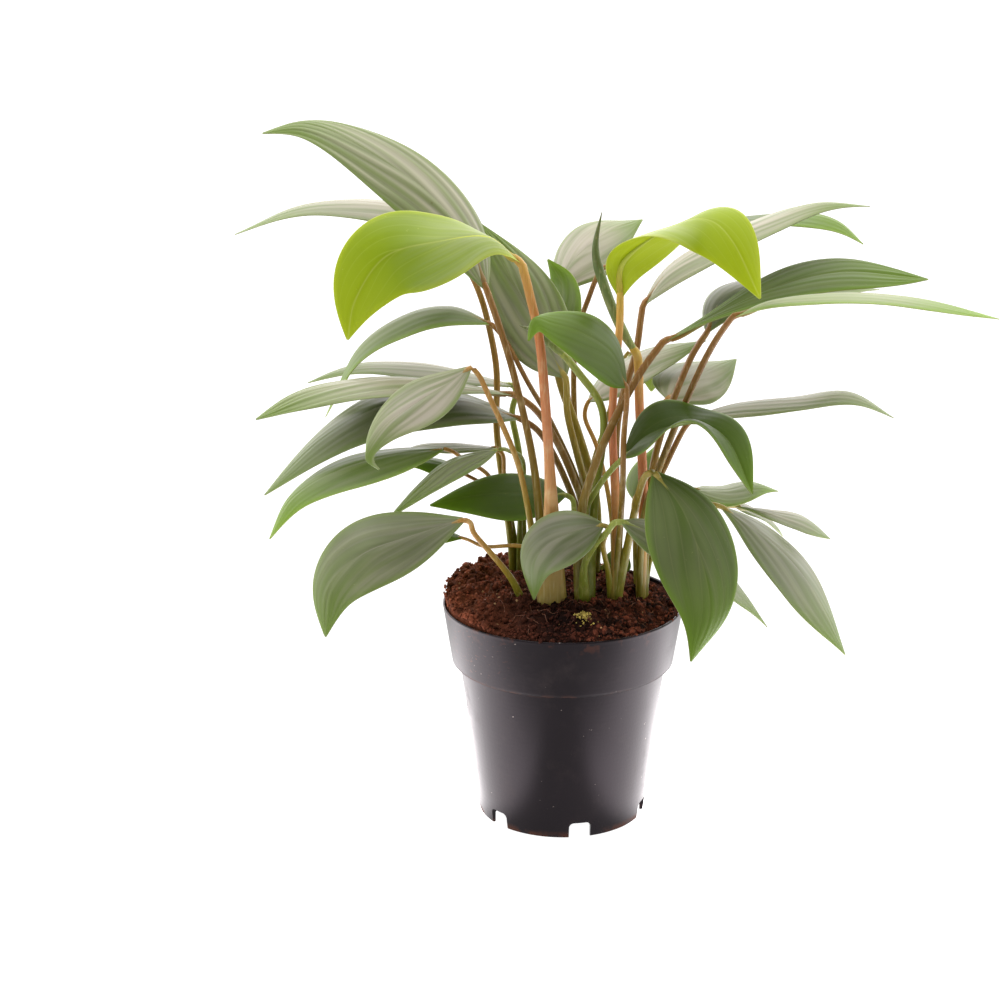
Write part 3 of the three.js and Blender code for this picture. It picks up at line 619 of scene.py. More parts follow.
def pot_finish():
    """Thin black plastic, satin, with dust, scuffs and soil marks."""
    f = Finish("pot_plastic")
    place = f.place()
    parts = f.node("ShaderNodeSeparateXYZ", None, (place,))
    height = parts.part(2)
    leftward = parts.between(-0.015, -0.05)
    cloud = f.noise(14.0, 4.0)
    drawn = f.node("ShaderNodeMapping", None, Vector=place, Scale=Vector((1, 1, 0.12)))
    streaks = f.noise(160.0, 5.0, place=drawn)
    specks = f.noise(330.0, 2.0).between(0.74, 0.79)
    dust = f.noise(45.0, 6.0, 0.7).between(0.5, 0.85)
    skin = f.mix(linear("#0d0a0b"), linear("#141012"), cloud.between(0.3, 0.75))
    skin = f.mix(skin, linear("#4c413d"), dust * streaks * 0.3)
    skin = f.mix(skin, linear("#a39890"), specks * 0.5)
    brown = linear("#3d2114")
    band = height.between(0.082, 0.0795) * height.between(0.0775, 0.0795)
    skin = f.mix(skin, brown, band * f.noise(70.0, 5.0).between(0.48, 0.6) * 0.8)
    rim = height.between(0.1, 0.109) * f.noise(120.0, 5.0).between(0.52, 0.62)
    skin = f.mix(skin, brown, rim * 0.8)
    slanted = f.node("ShaderNodeMapping", None, Vector=place, Scale=Vector((1, 1, 2.6)))
    flecks = f.noise(300.0, 3.0, place=slanted).between(0.62, 0.66)
    skin = f.mix(skin, brown, flecks * height.between(0.07, 0.09) * leftward * 0.9)
    foot = height.between(0.0045, 0.0005) * f.noise(90.0, 5.0).between(0.42, 0.56)
    skin = f.mix(skin, linear("#4f2c1a"), foot * 0.7)
    rough = 0.25 + 0.1 * cloud + 0.18 * dust + 0.3 * foot + 0.5 * band
    rings = (height * 2600.0).sine()
    normal = f.bump(f.noise(900.0, 2.0) * 0.5 + streaks * 0.5 + rings * 0.05, 0.0001, 0.4)
    return f.done(f.node("ShaderNodeBsdfPrincipled", None, Base_Color=skin, Roughness=rough, IOR=1.26,
                         Specular_Tint=(1.0, 0.88, 0.99), Normal=normal))


def soil_finish(name, dark, mid, pale):
    """Moist soil, painted darkest in front of the stems as shade, and paler and redder at the left as
    light.
    """
    f = Finish(name)
    leftward = f.node("ShaderNodeSeparateXYZ", None, (f.place(),)).between(0.0, -0.06)
    lumps = f.noise(190.0, 5.0, 0.65)
    grains = f.noise(900.0, 3.0, 0.7)
    skin = f.mix(dark, mid, lumps.between(0.38, 0.62))
    skin = f.mix(skin, pale, grains.between(0.56, 0.75) * 0.5)
    # Painted shade: the soil is darkened round the spot in front of the stems.
    away = f.node("ShaderNodeVectorMath", {"operation": "DISTANCE"}, (f.place(), PAINTED_SHADE_SPOT), out=1)
    skin = f.mix(skin, dark, away.between(0.045, 0.015) * 0.85)
    # Painted light at the left, where the side light falls: paler, redder soil.
    skin = f.mix(skin, linear("#a05a3c"), leftward * lumps * 0.5)
    normal = f.bump(grains + lumps, 0.0008, 0.9)
    return f.done(f.node("ShaderNodeBsdfPrincipled", None, Base_Color=skin,
                         Roughness=0.8 + 0.2 * grains, IOR=1.15, Normal=normal))


def plain_finish(name, colour):
    """One dull colour, unevenly darkened."""
    f = Finish(name)
    tint = f.noise(400.0, 3.0)
    skin = f.mix(colour, tuple(c * 0.55 for c in colour), tint.between(0.35, 0.75))
    return f.done(f.node("ShaderNodeBsdfPrincipled", None, Base_Color=skin, Roughness=0.8,
                         Normal=f.bump(tint, 0.0003, 0.6)))


SKINS = {name: leaf_finish(name) for name in TONES}
PETIOLE_SKIN = stalk_finish()
POT_SKIN = pot_finish()
SOIL_SKIN = soil_finish("soil_peat", linear("#120907"), linear("#472419"), linear("#8c5a44"))
CRUMB_SKIN = soil_finish("soil_crumb", linear("#2a1510"), linear("#7a4230"), linear("#c69a7c"))


# Building

def grid(name, columns, rows):
    """A flat grid, with how far along and how far across each of its corners lies from 0 to 1."""
    bpy.ops.mesh.primitive_grid_add(x_subdivisions=columns, y_subdivisions=rows, size=2, calc_uvs=True,
                                    location=(0, 0, 0))
    made = bpy.context.object
    made.name = name
    made.data.name = name
    flat = corners(made)
    return made, (flat[:, 1] + 1) / 2, (flat[:, 0] + 1) / 2


def corners(made):
    flat = np.zeros(len(made.data.vertices) * 3)
    made.data.vertices.foreach_get("co", flat)
    return flat.reshape(-1, 3)


def place(made, spots):
    """Moves the corners to these places in millimetres."""
    made.data.vertices.foreach_set("co", (spots * MM).ravel())
    made.data.update()


def sheet(name, columns, rows, shape):
    """A grid whose corners shape() places."""
    made, along, across = grid(name, columns, rows)
    place(made, shape(along, across))
    return made


def paint(made, label, colours):
    """A colour, or a colour and a share, for each corner."""
    layer = made.data.color_attributes.new(name=label, type="FLOAT_COLOR", domain="POINT")
    full = np.ones((len(made.data.vertices), 4))
    full[:, :colours.shape[1]] = colours
    layer.data.foreach_set("color", full.ravel())


def close_seams(made):
    """Merges corners that meet and turns every face outwards."""
    bpy.ops.object.select_all(action="DESELECT")
    made.select_set(True)
    bpy.context.view_layer.objects.active = made
    bpy.ops.object.mode_set(mode="EDIT")
    bpy.ops.mesh.select_all(action="SELECT")
    bpy.ops.mesh.remove_doubles(threshold=SEAM_GAP * MM)
    bpy.ops.mesh.normals_make_consistent(inside=False)
    bpy.ops.object.mode_set(mode="OBJECT")


def joined(pieces, name):
    bpy.ops.object.select_all(action="DESELECT")
    for piece in pieces:
        piece.select_set(True)
    bpy.context.view_layer.objects.active = pieces[0]
    if len(pieces) > 1:
        bpy.ops.object.join()
    made = bpy.context.object
    made.name = name
    made.data.name = name
    return made


def finished(made, skin, slot, *nodes):
    """Gives a piece its finish, its body and the solids that it stands for."""
    made.data.materials.clear()
    made.data.materials.append(skin)
    bpy.ops.object.select_all(action="DESELECT")
    made.select_set(True)
    bpy.context.view_layer.objects.active = made
    bpy.ops.object.shade_smooth()
    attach(made, "root")
    if nodes:
        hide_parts(*nodes)


def half_width(leaf, u):
    """Half the width of a blade at u, never less than its petiole at the base."""
    belly = leaf.get("belly", USUAL_BELLY)
    tip_power = leaf.get("taper", USUAL_TAPER)
    base_power = tip_power * belly / (1 - belly)
    shape = (u / belly) ** base_power * ((1 - u) / (1 - belly)) ** tip_power
    return np.maximum(leaf["width"] / 2 * shape, lerp(leaf["thick"], 0.5, u))


def blade_frame(leaf, rib, u):
    """Points on the midrib at u, with the directions ahead, to the left and up from the blade."""
    spots, ahead = rib.walk(u)
    run = rib.points[-1] - rib.points[0]
    level = unit(np.array([-run[1], run[0], 0.0]))
    side = unit(level - ahead * (ahead @ level)[:, None])
    along = u * (len(leaf["roll"]) - 1)
    i = np.minimum(along.astype(int), len(leaf["roll"]) - 2)
    roll = np.array(leaf["roll"], float)
    angle = np.radians(lerp(roll[i], roll[i + 1], smooth(along - i, 0, 1)))[:, None]
    side = side * np.cos(angle) + np.cross(ahead, side) * np.sin(angle)
    return spots, ahead, side, np.cross(ahead, side)


def blade(name, leaf):
    """A leaf blade: two skins over its pleated surface, thickest beside the midrib."""
    rib = Line(leaf["rib"])
    seed = random.uniform(0, 50)
    tone = TONES[leaf.get("look", leaf["tone"])]

    def pleats(u, v):
        """Height of the soft, uneven pleats, from 0 in a sunken vein to 1 between veins."""
        run = tone["reach"] * u - abs(v) * (1 + 0.2 * abs(v))
        even = 0.5 - 0.5 * np.cos(2 * math.pi * PLEATS * run)
        uneven = 0.65 + 0.35 * np.sin(run * 9 + seed + np.where(v > 0, 2.0, 0))
        return even * uneven

    lined = leaf.get("lined", USUAL_LINED)
    coarser = 1 if leaf["width"] > SMALL_WIDTH else 2
    count = ROWS // coarser
    wide = COLUMNS // coarser
    made, u, across = grid(name, wide, count)
    v = 1 - 2 * across
    half = half_width(leaf, u)
    spots, _, side, up = blade_frame(leaf, rib, u)
    rise = leaf.get("fold", USUAL_FOLD) * abs(v) - 0.12 * v * v
    wave = 0.5 * v * v * np.sin(u * 11 + np.where(v > 0, 0.6, 2.6))
    ripple = 0.35 * abs(v) ** 3 * np.sin(u * 31 + seed + np.where(v > 0, 1.9, 0))
    small = np.minimum(1, half / 8)
    sheet_lift = half * rise + (wave + ripple) * small
    relief = lined * tone["relief"] * small * pleats(u, v) * smooth(u, 0.0, 0.12)
    groove = 0.3 * small * np.exp(-(v * half / 1.0) ** 2)

    order = np.lexsort((across, u))
    back = np.argsort(order)
    shape = (count + 1, wide + 1, 3)
    middle = (spots + side * (half * v)[:, None] + up * sheet_lift[:, None])[order].reshape(shape)
    loose = (v[order].reshape(shape[:2]) ** 2)[1:-1, :, None]
    for _ in range(BLADE_EASING):
        middle[1:-1] = lerp(middle[1:-1], 0.25 * (middle[:-2] + 2 * middle[1:-1] + middle[2:]), loose)
    middle = middle + face_normals(middle) * (relief - groove)[order].reshape(shape[:2])[:, :, None]
    normal = face_normals(middle).reshape(-1, 3)[back]
    middle = middle.reshape(-1, 3)[back]

    shell = made.modifiers.new("skins", "SOLIDIFY")
    shell.thickness = 0.5 * MM
    shell.use_rim = True
    bpy.ops.object.modifier_apply(modifier=shell.name)
    thick = BLADE_EDGE + BLADE_SWELL * np.minimum(1, (1 - abs(v)) * half / 2.0)
    lift = normal * thick[:, None] / 2
    place(made, np.concatenate([middle + lift, middle - lift]))

    stem = leaf["thick"]
    stem_share = 0.8 * smooth(u * rib.length, 2 * stem, 0.0) * smooth(abs(v) * half, stem, 0.0)
    # How pale the blade is painted, partly as painted sheen; it also scales the painted sheen.
    light = np.full_like(half, leaf["light"])
    marks = np.stack([half / HALF_MARK, np.ones_like(half), light, stem_share], axis=1)
    paint(made, "leaf", np.concatenate([marks, marks * np.array([1, 0, 1, 1])]))
    paint(made, "stem", np.tile((*linear(PETIOLES[leaf["petiole"]][-1]), lined), (2 * len(u), 1)))
    return made, rib


def face_normals(spots):
    """Upward normals of a surface given as rows of points."""
    return unit(np.cross(np.gradient(spots, axis=0), -np.gradient(spots, axis=1)))


def around(ahead):
    """Directions square to a line at each step, turned as little as can be."""
    ups = np.zeros_like(ahead)
    up = np.array([0.0, 1.0, 0.0])
    for i, way in enumerate(ahead):
        up = unit(up - way * (up @ way))
        ups[i] = up
    return ups


def limb(name, line, girth, sides, rows, flatten=None, inward=None):
    """A round, tapered limb with closed ends. Where flatten() is given it is widened, and hollow on the
    side that faces the point inward."""
    shares = np.linspace(0, 1, rows + 1)
    spots, ahead = line.walk(shares)
    ups = around(ahead)
    if inward is not None:
        wish = inward - spots
        wish[:, 2] = 0
        wish = wish - ahead * np.sum(wish * ahead, axis=1)[:, None]
        ups = unit(unit(wish) + 0.0001 * ups)
    sides_way = np.cross(ups, ahead)
    radius = girth(shares)

    def shape(t, turn):
        i = np.round(t * rows).astype(int)
        angle = turn * 2 * math.pi
        wide = np.zeros_like(t)
        hollow = np.zeros_like(t)
        if flatten is not None:
            wide = flatten(t)
            hollow = np.exp(-((turn - 0.25) / 0.07) ** 2) * np.where(t < 0.999, 0.3, 0)
        closing = np.where((i == 0) | (i == rows), 0, 1)
        out_side = np.cos(angle) * (1 + 0.35 * wide)
        out_up = np.sin(angle) * (1 - 0.2 * wide) - hollow * (0.6 + wide)
        reach = (radius[i] * closing)[:, None]
        return spots[i] + reach * (sides_way[i] * out_side[:, None] + ups[i] * out_up[:, None])

    made = sheet(name, sides, rows, shape)
    close_seams(made)
    return made


def along_colours(made, line, stops, rows):
    """A colour between the stops for each corner of a limb, and how far along it lies."""
    shares = np.linspace(0, 1, rows + 1)
    spots = line.walk(shares)[0] * MM
    nearest = np.argmin(((corners(made)[:, None, :] - spots[None, :, :]) ** 2).sum(axis=2), axis=1)
    t = shares[nearest]
    knots = np.linspace(0, 1, len(stops))
    ramp = np.array([linear(code) for code in stops])
    return np.stack([np.interp(t, knots, ramp[:, c]) for c in range(3)], axis=1), t


def petiole_line(leaf):
    """The way of a petiole from inside its shoot up into its blade, with its radius along it."""
    x, y, radius = SHOOTS[leaf["shoot"]]
    thick = leaf["thick"]
    foot = leaf.get("foot", 1.8 * thick)
    top = Line(leaf.get("rib") or leaf["line"])
    start = np.array([x, y, soil_height(x, y) - 1], float)
    lean = np.array(leaf["stalk"][0], float) - start
    lean[2] = 0
    spread = max(0, min(radius - foot - 1, 0.6 * np.linalg.norm(lean)))
    start = start + unit(lean) * spread
    first, ahead = top.walk([0])
    arrival = unit(first[0] - np.array(leaf["stalk"][-1], float))
    neck = first[0] - NECK * unit(arrival + NECK_LEAN * ahead[0])
    root = start - np.array([0, 0, ROOTED])
    way = Line([root, start, *leaf["stalk"], neck, first[0] + ahead[0]])
    spots = way.walk(np.linspace(0, 1, PETIOLE_ROWS + 1))[0]
    for _ in range(PETIOLE_EASING):
        spots[1:-2] = 0.5 * spots[1:-2] + 0.25 * (spots[:-3] + spots[2:-1])
    reach = np.array([0.4, 0.8, 1.0]) * NOSE * thick
    square = np.cross(ahead[0], unit(np.array([-ahead[0][1], ahead[0][0], 0.0])))
    into = top.walk(reach / top.length)[0] - 0.15 * reach[:, None] / reach[-1] * square
    line = Line([*spots[:-1], *into])
    nose = 1.3 * NOSE * thick / line.length

    def girth(t):
        widening = (foot - 1.25 * thick) * np.maximum(0, 1 - t / 0.45) ** 1.3
        blunt = 1 - np.clip((t - 1 + nose) / nose, 0, 1) ** 2
        return (thick * (1.25 - 0.25 * t) + widening) * (0.1 + 0.9 * np.sqrt(blunt))

    return line, girth


def petiole(name, leaf):
    """A leaf's stalk, widened at its foot and hollow on the side towards the middle of the pot."""
    line, girth = petiole_line(leaf)
    x, y, _ = SHOOTS[leaf["shoot"]]
    made = limb(name, line, girth, PETIOLE_SIDES, PETIOLE_ROWS, lambda t: smooth(t, 0.42, 0.08),
                np.array([x * 0.4, y * 0.4, 0]))
    paint(made, "stem", along_colours(made, line, PETIOLES[leaf["petiole"]], PETIOLE_ROWS)[0])
    return made


def midrib(name, leaf, rib):
    """The ridge under a blade that carries on from its petiole."""
    shares = np.linspace(0, RIB_SHARE, RIB_ROWS)
    spots, _, _, up = blade_frame(leaf, rib, shares)
    radius = leaf["thick"] * (0.28 + 0.72 * np.maximum(0, 1 - shares / 0.5) ** 1.8)
    drop = np.maximum(0, radius - 0.05) * smooth(shares, 0.0, 0.07) * 0.8
    line = Line(spots - up * (drop + 0.15)[:, None])

    def girth(t):
        return np.interp(t, shares / RIB_SHARE, radius) * smooth(t, 1.02, 0.9)

    made = limb(name, line, girth, RIB_SIDES, RIB_ROWS)
    top = PETIOLES[leaf["petiole"]][-1]
    colours, t = along_colours(made, line, (top, top), RIB_ROWS)
    marks = np.tile(np.array([0.001, 0.0, leaf["light"], 0.0]), (len(t), 1))
    marks[:, 3] = 0.9 * smooth(t, 0.22, 0.0)
    paint(made, "leaf", marks)
    paint(made, "stem", np.concatenate([colours, np.zeros((len(t), 1))], axis=1))
    return made


def build_leaves():
    for name, leaf in LEAVES.items():
        skin, rib = blade("leaf_" + name, leaf)
        ridge = midrib("ridge", leaf, rib)
        whole = joined([skin, ridge], "leaf_" + name)
        finished(whole, SKINS[leaf.get("look", leaf["tone"])], leaf["tone"], "blade_" + name)


def build_spears():
    """Each rolled leaf is a tight scroll: one margin stands proud in a line that winds up it."""
    for name, spear in SPEARS.items():
        line = Line(spear["line"])
        shares = np.linspace(0, 1, SPEAR_ROWS + 1)
        spots, ahead = line.walk(shares)
        ups = around(ahead)
        sides_way = np.cross(ups, ahead)
        swell = np.minimum(0.6 + 2.4 * shares, 2.2 * (1 - shares) ** 0.8)
        girth = spear["thick"] * np.clip(swell, 0.12, 1)

        def shape(t, turn):
            i = np.round(t * SPEAR_ROWS).astype(int)
            angle = turn * 2 * math.pi + t * SPEAR_WINDING
            step = 1 + SPEAR_STEP * turn - SPEAR_STEP * smooth(turn, 0.97, 1.0)
            closing = np.where((i == 0) | (i == SPEAR_ROWS), 0, 1)
            reach = (girth[i] * closing * step)[:, None]
            return spots[i] + reach * (sides_way[i] * np.cos(angle)[:, None]
                                       + ups[i] * np.sin(angle)[:, None])

        made = sheet("rolled_leaf_" + name, SPEAR_SIDES, SPEAR_ROWS, shape)
        close_seams(made)
        stops = ("#7e8a46", "#5f6e36", "#4a5a2c", "#565f36")
        paint(made, "stem", along_colours(made, line, stops, SPEAR_ROWS)[0])
        finished(made, PETIOLE_SKIN, "fresh", "rolled_" + name)


def build_shoots():
    """Each shoot: the stalks that rise from it, and its rooted crown under the soil."""
    stems = {**LEAVES, **SPEARS}
    for name, (x, y, radius) in SHOOTS.items():
        parts = [petiole("stem", leaf) for leaf in stems.values() if leaf["shoot"] == name]
        ground = soil_height(x, y)
        heights = np.array([-24, -20, -12, -8, -6, -4.5, -3.6, -3.2])
        reaches = np.array([0.97, 1.0, 0.98, 0.9, 0.82, 0.7, 0.5, 0.2]) * radius
        core = Line([(x, y, ground + h) for h in heights])
        crown = limb("crown", core, lambda t: np.interp(
            t * core.length, heights - heights[0], reaches), CROWN_SIDES, CROWN_ROWS)
        stops = ("#3a2818", "#4a3820", "#5c5430")
        paint(crown, "stem", along_colours(crown, core, stops, CROWN_ROWS)[0])
        whole = joined([*parts, crown], "stems_" + name)
        finished(whole, PETIOLE_SKIN, "stalk", "shoot_" + name)


def turned(name, profile, sides):
    """A body of revolution about the pot's axis, closed where its profile meets the axis."""
    rows = len(profile) - 1
    reach = np.array([r for r, _ in profile], float)
    level = np.array([z for _, z in profile], float)

    def shape(t, turn):
        i = np.round(t * rows).astype(int)
        angle = turn * 2 * math.pi
        return np.stack([reach[i] * np.cos(angle), reach[i] * np.sin(angle), level[i]], axis=1)

    made = sheet(name, sides, rows, shape)
    close_seams(made)
    return made


def build_pot():
    """The pot, turned from one profile, with its drainage notches cut through the foot ring."""
    inner = BODY_TOP_RADIUS - WALL
    outside = [
        (0, 0), (PAD_RADIUS - 0.5, 0), (PAD_RADIUS, 0.5), (PAD_RADIUS, FLOOR_UNDER - 0.4),
        (PAD_RADIUS + 0.4, FLOOR_UNDER), (FOOT_RADIUS - FOOT_RING - 0.4, FLOOR_UNDER),
        (FOOT_RADIUS - FOOT_RING, FLOOR_UNDER - 0.4), (FOOT_RADIUS - FOOT_RING, 0.3),
        (FOOT_RADIUS - FOOT_RING + 0.3, 0), (FOOT_RADIUS - 0.7, 0), (FOOT_RADIUS - 0.2, 0.3),
        (FOOT_RADIUS, 0.9),
    ]
    outside += [(lerp(FOOT_RADIUS, BODY_TOP_RADIUS, t), lerp(0.9, BODY_TOP, t))
                for t in np.linspace(0, 1, BODY_RINGS)[1:]]
    outside += [
        (BODY_TOP_RADIUS + 0.5, BODY_TOP + 0.35), (BODY_TOP_RADIUS + 2.2, BODY_TOP + 0.75),
        (COLLAR_RADIUS - 0.7, BODY_TOP + 1.0), (COLLAR_RADIUS - 0.15, BODY_TOP + 1.7),
        (COLLAR_RADIUS, COLLAR_BOTTOM),
    ]
    outside += [(lerp(COLLAR_RADIUS, RIM_RADIUS - 0.3, t), lerp(COLLAR_BOTTOM, POT_HEIGHT - 2.4, t))
                for t in np.linspace(0, 1, COLLAR_RINGS)[1:]]
    lip = [
        (RIM_RADIUS - 0.12, POT_HEIGHT - 1.2), (RIM_RADIUS, POT_HEIGHT - 0.7),
        (RIM_RADIUS - 0.04, POT_HEIGHT - 0.3), (RIM_RADIUS - 0.22, POT_HEIGHT - 0.08),
        (RIM_RADIUS - 0.5, POT_HEIGHT), (RIM_RADIUS - 0.85, POT_HEIGHT - 0.06),
        (RIM_RADIUS - WALL - 0.05, POT_HEIGHT - 0.4),
    ]
    inside = [
        (COLLAR_RADIUS - WALL, COLLAR_BOTTOM + 0.8), (inner + 2.2, BODY_TOP + 1.9),
        (inner, BODY_TOP + 1.2), (FOOT_RADIUS - WALL, FLOOR_TOP + 0.5),
        (FOOT_RADIUS - WALL - 0.5, FLOOR_TOP), (0, FLOOR_TOP),
    ]
    pot = turned("pot_moulded", outside + lip + inside, POT_SIDES)
    for i in range(NOTCHES):
        angle = math.radians(FIRST_NOTCH + i * 360 / NOTCHES)
        bpy.ops.mesh.primitive_cube_add(size=1, location=(0, 0, 0))
        cutter = bpy.context.object
        cutter.scale = (NOTCH_DEPTH * MM, NOTCH_WIDTH * MM, 2 * NOTCH_HEIGHT * MM)
        bpy.ops.object.transform_apply(location=False, rotation=False, scale=True)
        rounding = cutter.modifiers.new("corners", "BEVEL")
        rounding.width = NOTCH_CORNER * MM
        rounding.segments = 5
        rounding.limit_method = "ANGLE"
        bpy.ops.object.modifier_apply(modifier=rounding.name)
        cutter.data.transform(Matrix.Rotation(angle, 4, "Z")
                              @ Matrix.Translation((FOOT_RADIUS * MM, 0, 0)))
        cut = pot.modifiers.new("notch", "BOOLEAN")
        cut.operation = "DIFFERENCE"
        cut.solver = "EXACT"
        cut.object = cutter
        bpy.context.view_layer.objects.active = pot
        bpy.ops.object.modifier_apply(modifier=cut.name)
        bpy.data.objects.remove(cutter)
    finished(pot, POT_SKIN, "pot", "pot")
    bpy.ops.object.shade_smooth_by_angle(angle=math.radians(40))


def rough_soil(x, y):
    """Height of the soil with its crumbly surface."""
    coarse = noise.fractal(Vector((x * 0.11, y * 0.11, 0.3)), 0.7, 2.1, 5) * 2.1
    clods = noise.voronoi(Vector((x * 0.2, y * 0.2, 5.1)))[0][0]
    cells = noise.voronoi(Vector((x * 0.5, y * 0.5, 1.7)))[0][0]
    fine = noise.fractal(Vector((x * 0.9, y * 0.9, 4.0)), 0.6, 2.3, 3) * 0.6
    return soil_height(x, y) + coarse + fine + 2.2 * (0.42 - clods) + 1.3 * (0.42 - cells)


def build_soil():
    """The bed of soil: smooth against the pot, rough on top, spilling a little over the left rim."""
    brim = RIM_RADIUS - WALL - 0.5
    wall = COLLAR_RADIUS - WALL - 0.5
    neck = BODY_TOP_RADIUS - WALL - 0.3
    profile = [
        (0, FLOOR_TOP + 0.3), (FOOT_RADIUS - WALL - 0.3, FLOOR_TOP + 0.3), (neck, BODY_TOP + 1.4),
        (wall, COLLAR_BOTTOM + 1.4), (brim - 0.3, POT_HEIGHT - 4),
    ]
    rings = [(brim * r, POT_HEIGHT) for r in np.linspace(1, 0, SOIL_RINGS)]
    bed = turned("soil_bed", profile + rings, SOIL_SIDES)
    for corner in bed.data.vertices:
        x, y, z = (c / MM for c in corner.co)
        if z > POT_HEIGHT - 1:
            reach = math.hypot(x, y)
            corner.co.z = edge_soil(x, y, reach, brim) * MM
            spill = OVERHANG * leftness(x, y, reach) * float(smooth(reach, brim * EDGE_BAND, brim))
            out = 1 + spill * noise.noise(Vector((x * 0.3, y * 0.3, 10.0))) / (reach + 1)
            corner.co.x *= out
            corner.co.y *= out
    finished(bed, SOIL_SKIN, "soil", "soil")


def edge_soil(x, y, reach, brim):
    """Height of the rough soil, which comes up to the rim at the left and in front."""
    height = rough_soil(x, y)
    frontward = max(0, (-0.5 * x - 0.85 * y) / (reach + 1))
    filled = POT_HEIGHT - 1.8 + 6 * leftness(x, y, reach) + 2.4 * frontward
    filled = filled + 0.35 * (height - soil_height(x, y))
    return lerp(height, max(height - 1.0, filled), float(smooth(reach, brim * EDGE_BAND, brim)))


def scattered(name, count, spot, size, skin, masters=10, faces=1):
    """Small irregular lumps: a few are modelled, and each is copied to many spots on the soil."""
    shapes = []
    for i in range(masters):
        bpy.ops.mesh.primitive_ico_sphere_add(subdivisions=faces, radius=1, location=(0, 0, 0))
        lump = bpy.context.object
        stretch = Vector((random.uniform(0.8, 1.4), random.uniform(0.7, 1.1), random.uniform(0.5, 0.9)))
        for corner in lump.data.vertices:
            push = 1 + 0.5 * noise.noise(corner.co * 1.6 + Vector((i * 7.0, 0, 0)))
            corner.co = Vector(c * s for c, s in zip(corner.co * push, stretch))
        shapes.append(lump)
    copies = []
    for _ in range(count):
        x, y, z = spot()
        radius = size() * MM
        lump = random.choice(shapes)
        twin = lump.copy()
        twin.data = lump.data.copy()
        turn = Euler([random.uniform(0, math.tau) for _ in range(3)]).to_matrix().to_4x4()
        twin.data.transform(Matrix.Translation((x * MM, y * MM, z * MM)) @ turn
                            @ Matrix.Diagonal((radius, radius, radius, 1)))
        bpy.context.scene.collection.objects.link(twin)
        copies.append(twin)
    for lump in shapes:
        bpy.data.objects.remove(lump)
    finished(joined(copies, name), skin, "soil")


def on_soil(reach=SOIL_REACH):
    """A random spot on the soil, within this reach of the pot's middle."""
    while True:
        x, y = random.uniform(-reach, reach), random.uniform(-reach, reach)
        if math.hypot(x, y) < reach:
            return x, y, rough_soil(x, y) + random.uniform(-0.4, 0.5)


def at_edge():
    """A spot where crumbs lie over the rim at the left and in front."""
    angle = math.radians(random.choice([random.uniform(130, 235), random.uniform(225, 345)]))
    reach = random.uniform(54, 59.6)
    x, y = reach * math.cos(angle), reach * math.sin(angle)
    height = edge_soil(x, y, reach, RIM_RADIUS - WALL)
    return x, y, max(height, POT_HEIGHT - 0.8) + random.uniform(-0.3, 0.7)


def moss_spot():
    """A spot in the patch of moss in front of the stems."""
    x, y = random.gauss(10, 2.3), random.gauss(-41, 2.0)
    return x, y, rough_soil(x, y) + random.uniform(0.6, 1.2)


def build_crumbs():
    """Crumbs, lumps, pale chips and a little moss, all lying loose on the soil."""
    scattered("soil_crumbs", CRUMBS, on_soil, lambda: random.lognormvariate(-0.5, 0.5), CRUMB_SKIN)
    scattered("soil_lumps", LUMPS, on_soil, lambda: random.uniform(1.2, 2.4), SOIL_SKIN, 8, 2)
    scattered("rim_crumbs", RIM_CRUMBS, at_edge, lambda: random.lognormvariate(-0.45, 0.45), CRUMB_SKIN)
    scattered("soil_chips", CHIPS, on_soil, lambda: random.uniform(0.3, 0.75),
              plain_finish("pale_chips", linear("#b08a5e")))
    scattered("moss_grains", MOSS_GRAINS, moss_spot, lambda: random.uniform(0.35, 0.8),
              plain_finish("moss", linear("#b09c48")))


def build_fibres():
    """Short strands of coir that wander over the soil."""
    strands = []
    for _ in range(FIBRES):
        x, y, _ = on_soil(52)
        heading = random.uniform(0, math.tau)
        length = random.uniform(5, 15)
        points = []
        for _ in range(FIBRE_POINTS):
            heading += random.uniform(-0.5, 0.5)
            points.append((x, y, rough_soil(x, y) + 0.5 + random.uniform(0, 0.9)))
            x += length / (FIBRE_POINTS - 1) * math.cos(heading)
            y += length / (FIBRE_POINTS - 1) * math.sin(heading)
            if math.hypot(x, y) > SOIL_REACH:
                break
        if len(points) > 2:
            width = random.uniform(0.14, 0.3)
            strands.append(limb("strand", Line(points), lambda t: width * (1.1 - 0.6 * t),
                                FIBRE_SIDES, FIBRE_ROWS))
    finished(joined(strands, "coir_fibres"), plain_finish("coir", linear("#6a3f28")), "soil")


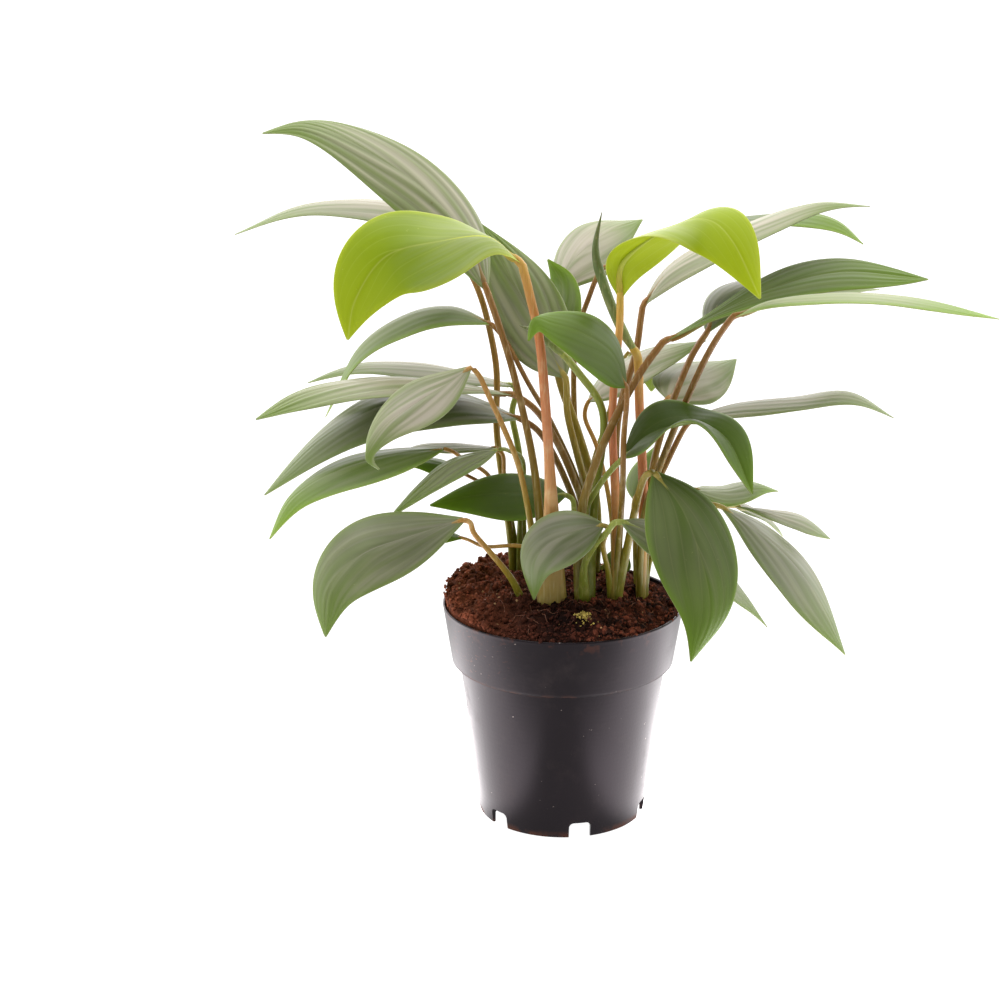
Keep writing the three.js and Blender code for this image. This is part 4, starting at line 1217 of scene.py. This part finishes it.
def build_stage():
    """A pale floor, lit from below like a light table at both sides of the pot."""
    bpy.ops.mesh.primitive_plane_add(size=14, location=(0, 0, 0))
    floor = bpy.context.object
    floor.name = "floor"
    f = Finish("floor_white")
    parts = f.node("ShaderNodeSeparateXYZ", None, (f.place(),))
    outwards, depth = abs(parts), parts.part(1)
    panels = outwards.between(0.03, 0.056) * outwards.between(0.4, 0.25)
    panels = panels * depth.between(-0.16, -0.06) * depth.between(0.21, 0.05)
    glow = f.mix((FLOOR_DIM,) * 3, STUDIO_WHITE, panels)
    floor.data.materials.append(f.done(f.node(
        "ShaderNodeBsdfPrincipled", None, Base_Color=(FLOOR_GREY,) * 3, Roughness=0.9, IOR=1.2,
        Emission_Color=glow, Emission_Strength=FLOOR_GLOW)))


def softbox(name, spot, side, power):
    """A square lamp at a spot in metres, aimed at the middle of the plant."""
    aim = Vector((0, 0, 0.2))
    data = bpy.data.lights.new(name, "AREA")
    data.shape = "RECTANGLE"
    data.size = side
    data.size_y = side
    data.energy = power
    lamp = bpy.data.objects.new(name, data)
    lamp.location = spot
    lamp.rotation_euler = (aim - Vector(spot)).to_track_quat("-Z", "Y").to_euler()
    bpy.context.scene.collection.objects.link(lamp)


def build_lights():
    """White walls behind and at the sides, a dim one in front, and two soft lamps, above and in front."""
    world = bpy.data.worlds.new("studio")
    bpy.context.scene.world = world
    f = Finish("studio", world)
    parts = f.node("ShaderNodeSeparateXYZ", None, (f.node("ShaderNodeTexCoord", out="Generated"),))
    walls = parts.part(1).between(-0.9, 0.0)
    ceiling = parts.part(2).between(0.45, 0.95)
    strength = FRONT_WALL + walls * (WHITE_WALLS - CEILING_LOSS * ceiling)
    f.done(f.node("ShaderNodeBackground", None, Color=STUDIO_WHITE, Strength=strength),
           "ShaderNodeOutputWorld")
    softbox("top_softbox", (-0.2, 0.1, 1.7), 1.0, 9)
    softbox("front_fill", (-0.7, -1.5, 1.2), 0.8, 3.5)


def build_camera():
    data = bpy.data.cameras.new("photo_view")
    data.sensor_width = SENSOR
    data.lens = SENSOR * FOCAL_PIXELS / PICTURE
    data.clip_start = 0.05
    data.clip_end = 40
    camera = bpy.data.objects.new("photo_view", data)
    camera.location = CAMERA_PLACE
    camera.rotation_euler = (math.radians(90 - LOOKS_DOWN), 0, math.radians(TURNS_LEFT))
    bpy.context.scene.collection.objects.link(camera)
    bpy.context.scene.camera = camera


build_camera()
build_stage()
build_lights()
build_pot()
build_soil()
build_crumbs()
build_fibres()
build_shoots()
build_spears()
build_leaves()
bpy.context.scene.view_settings.view_transform = "Standard"
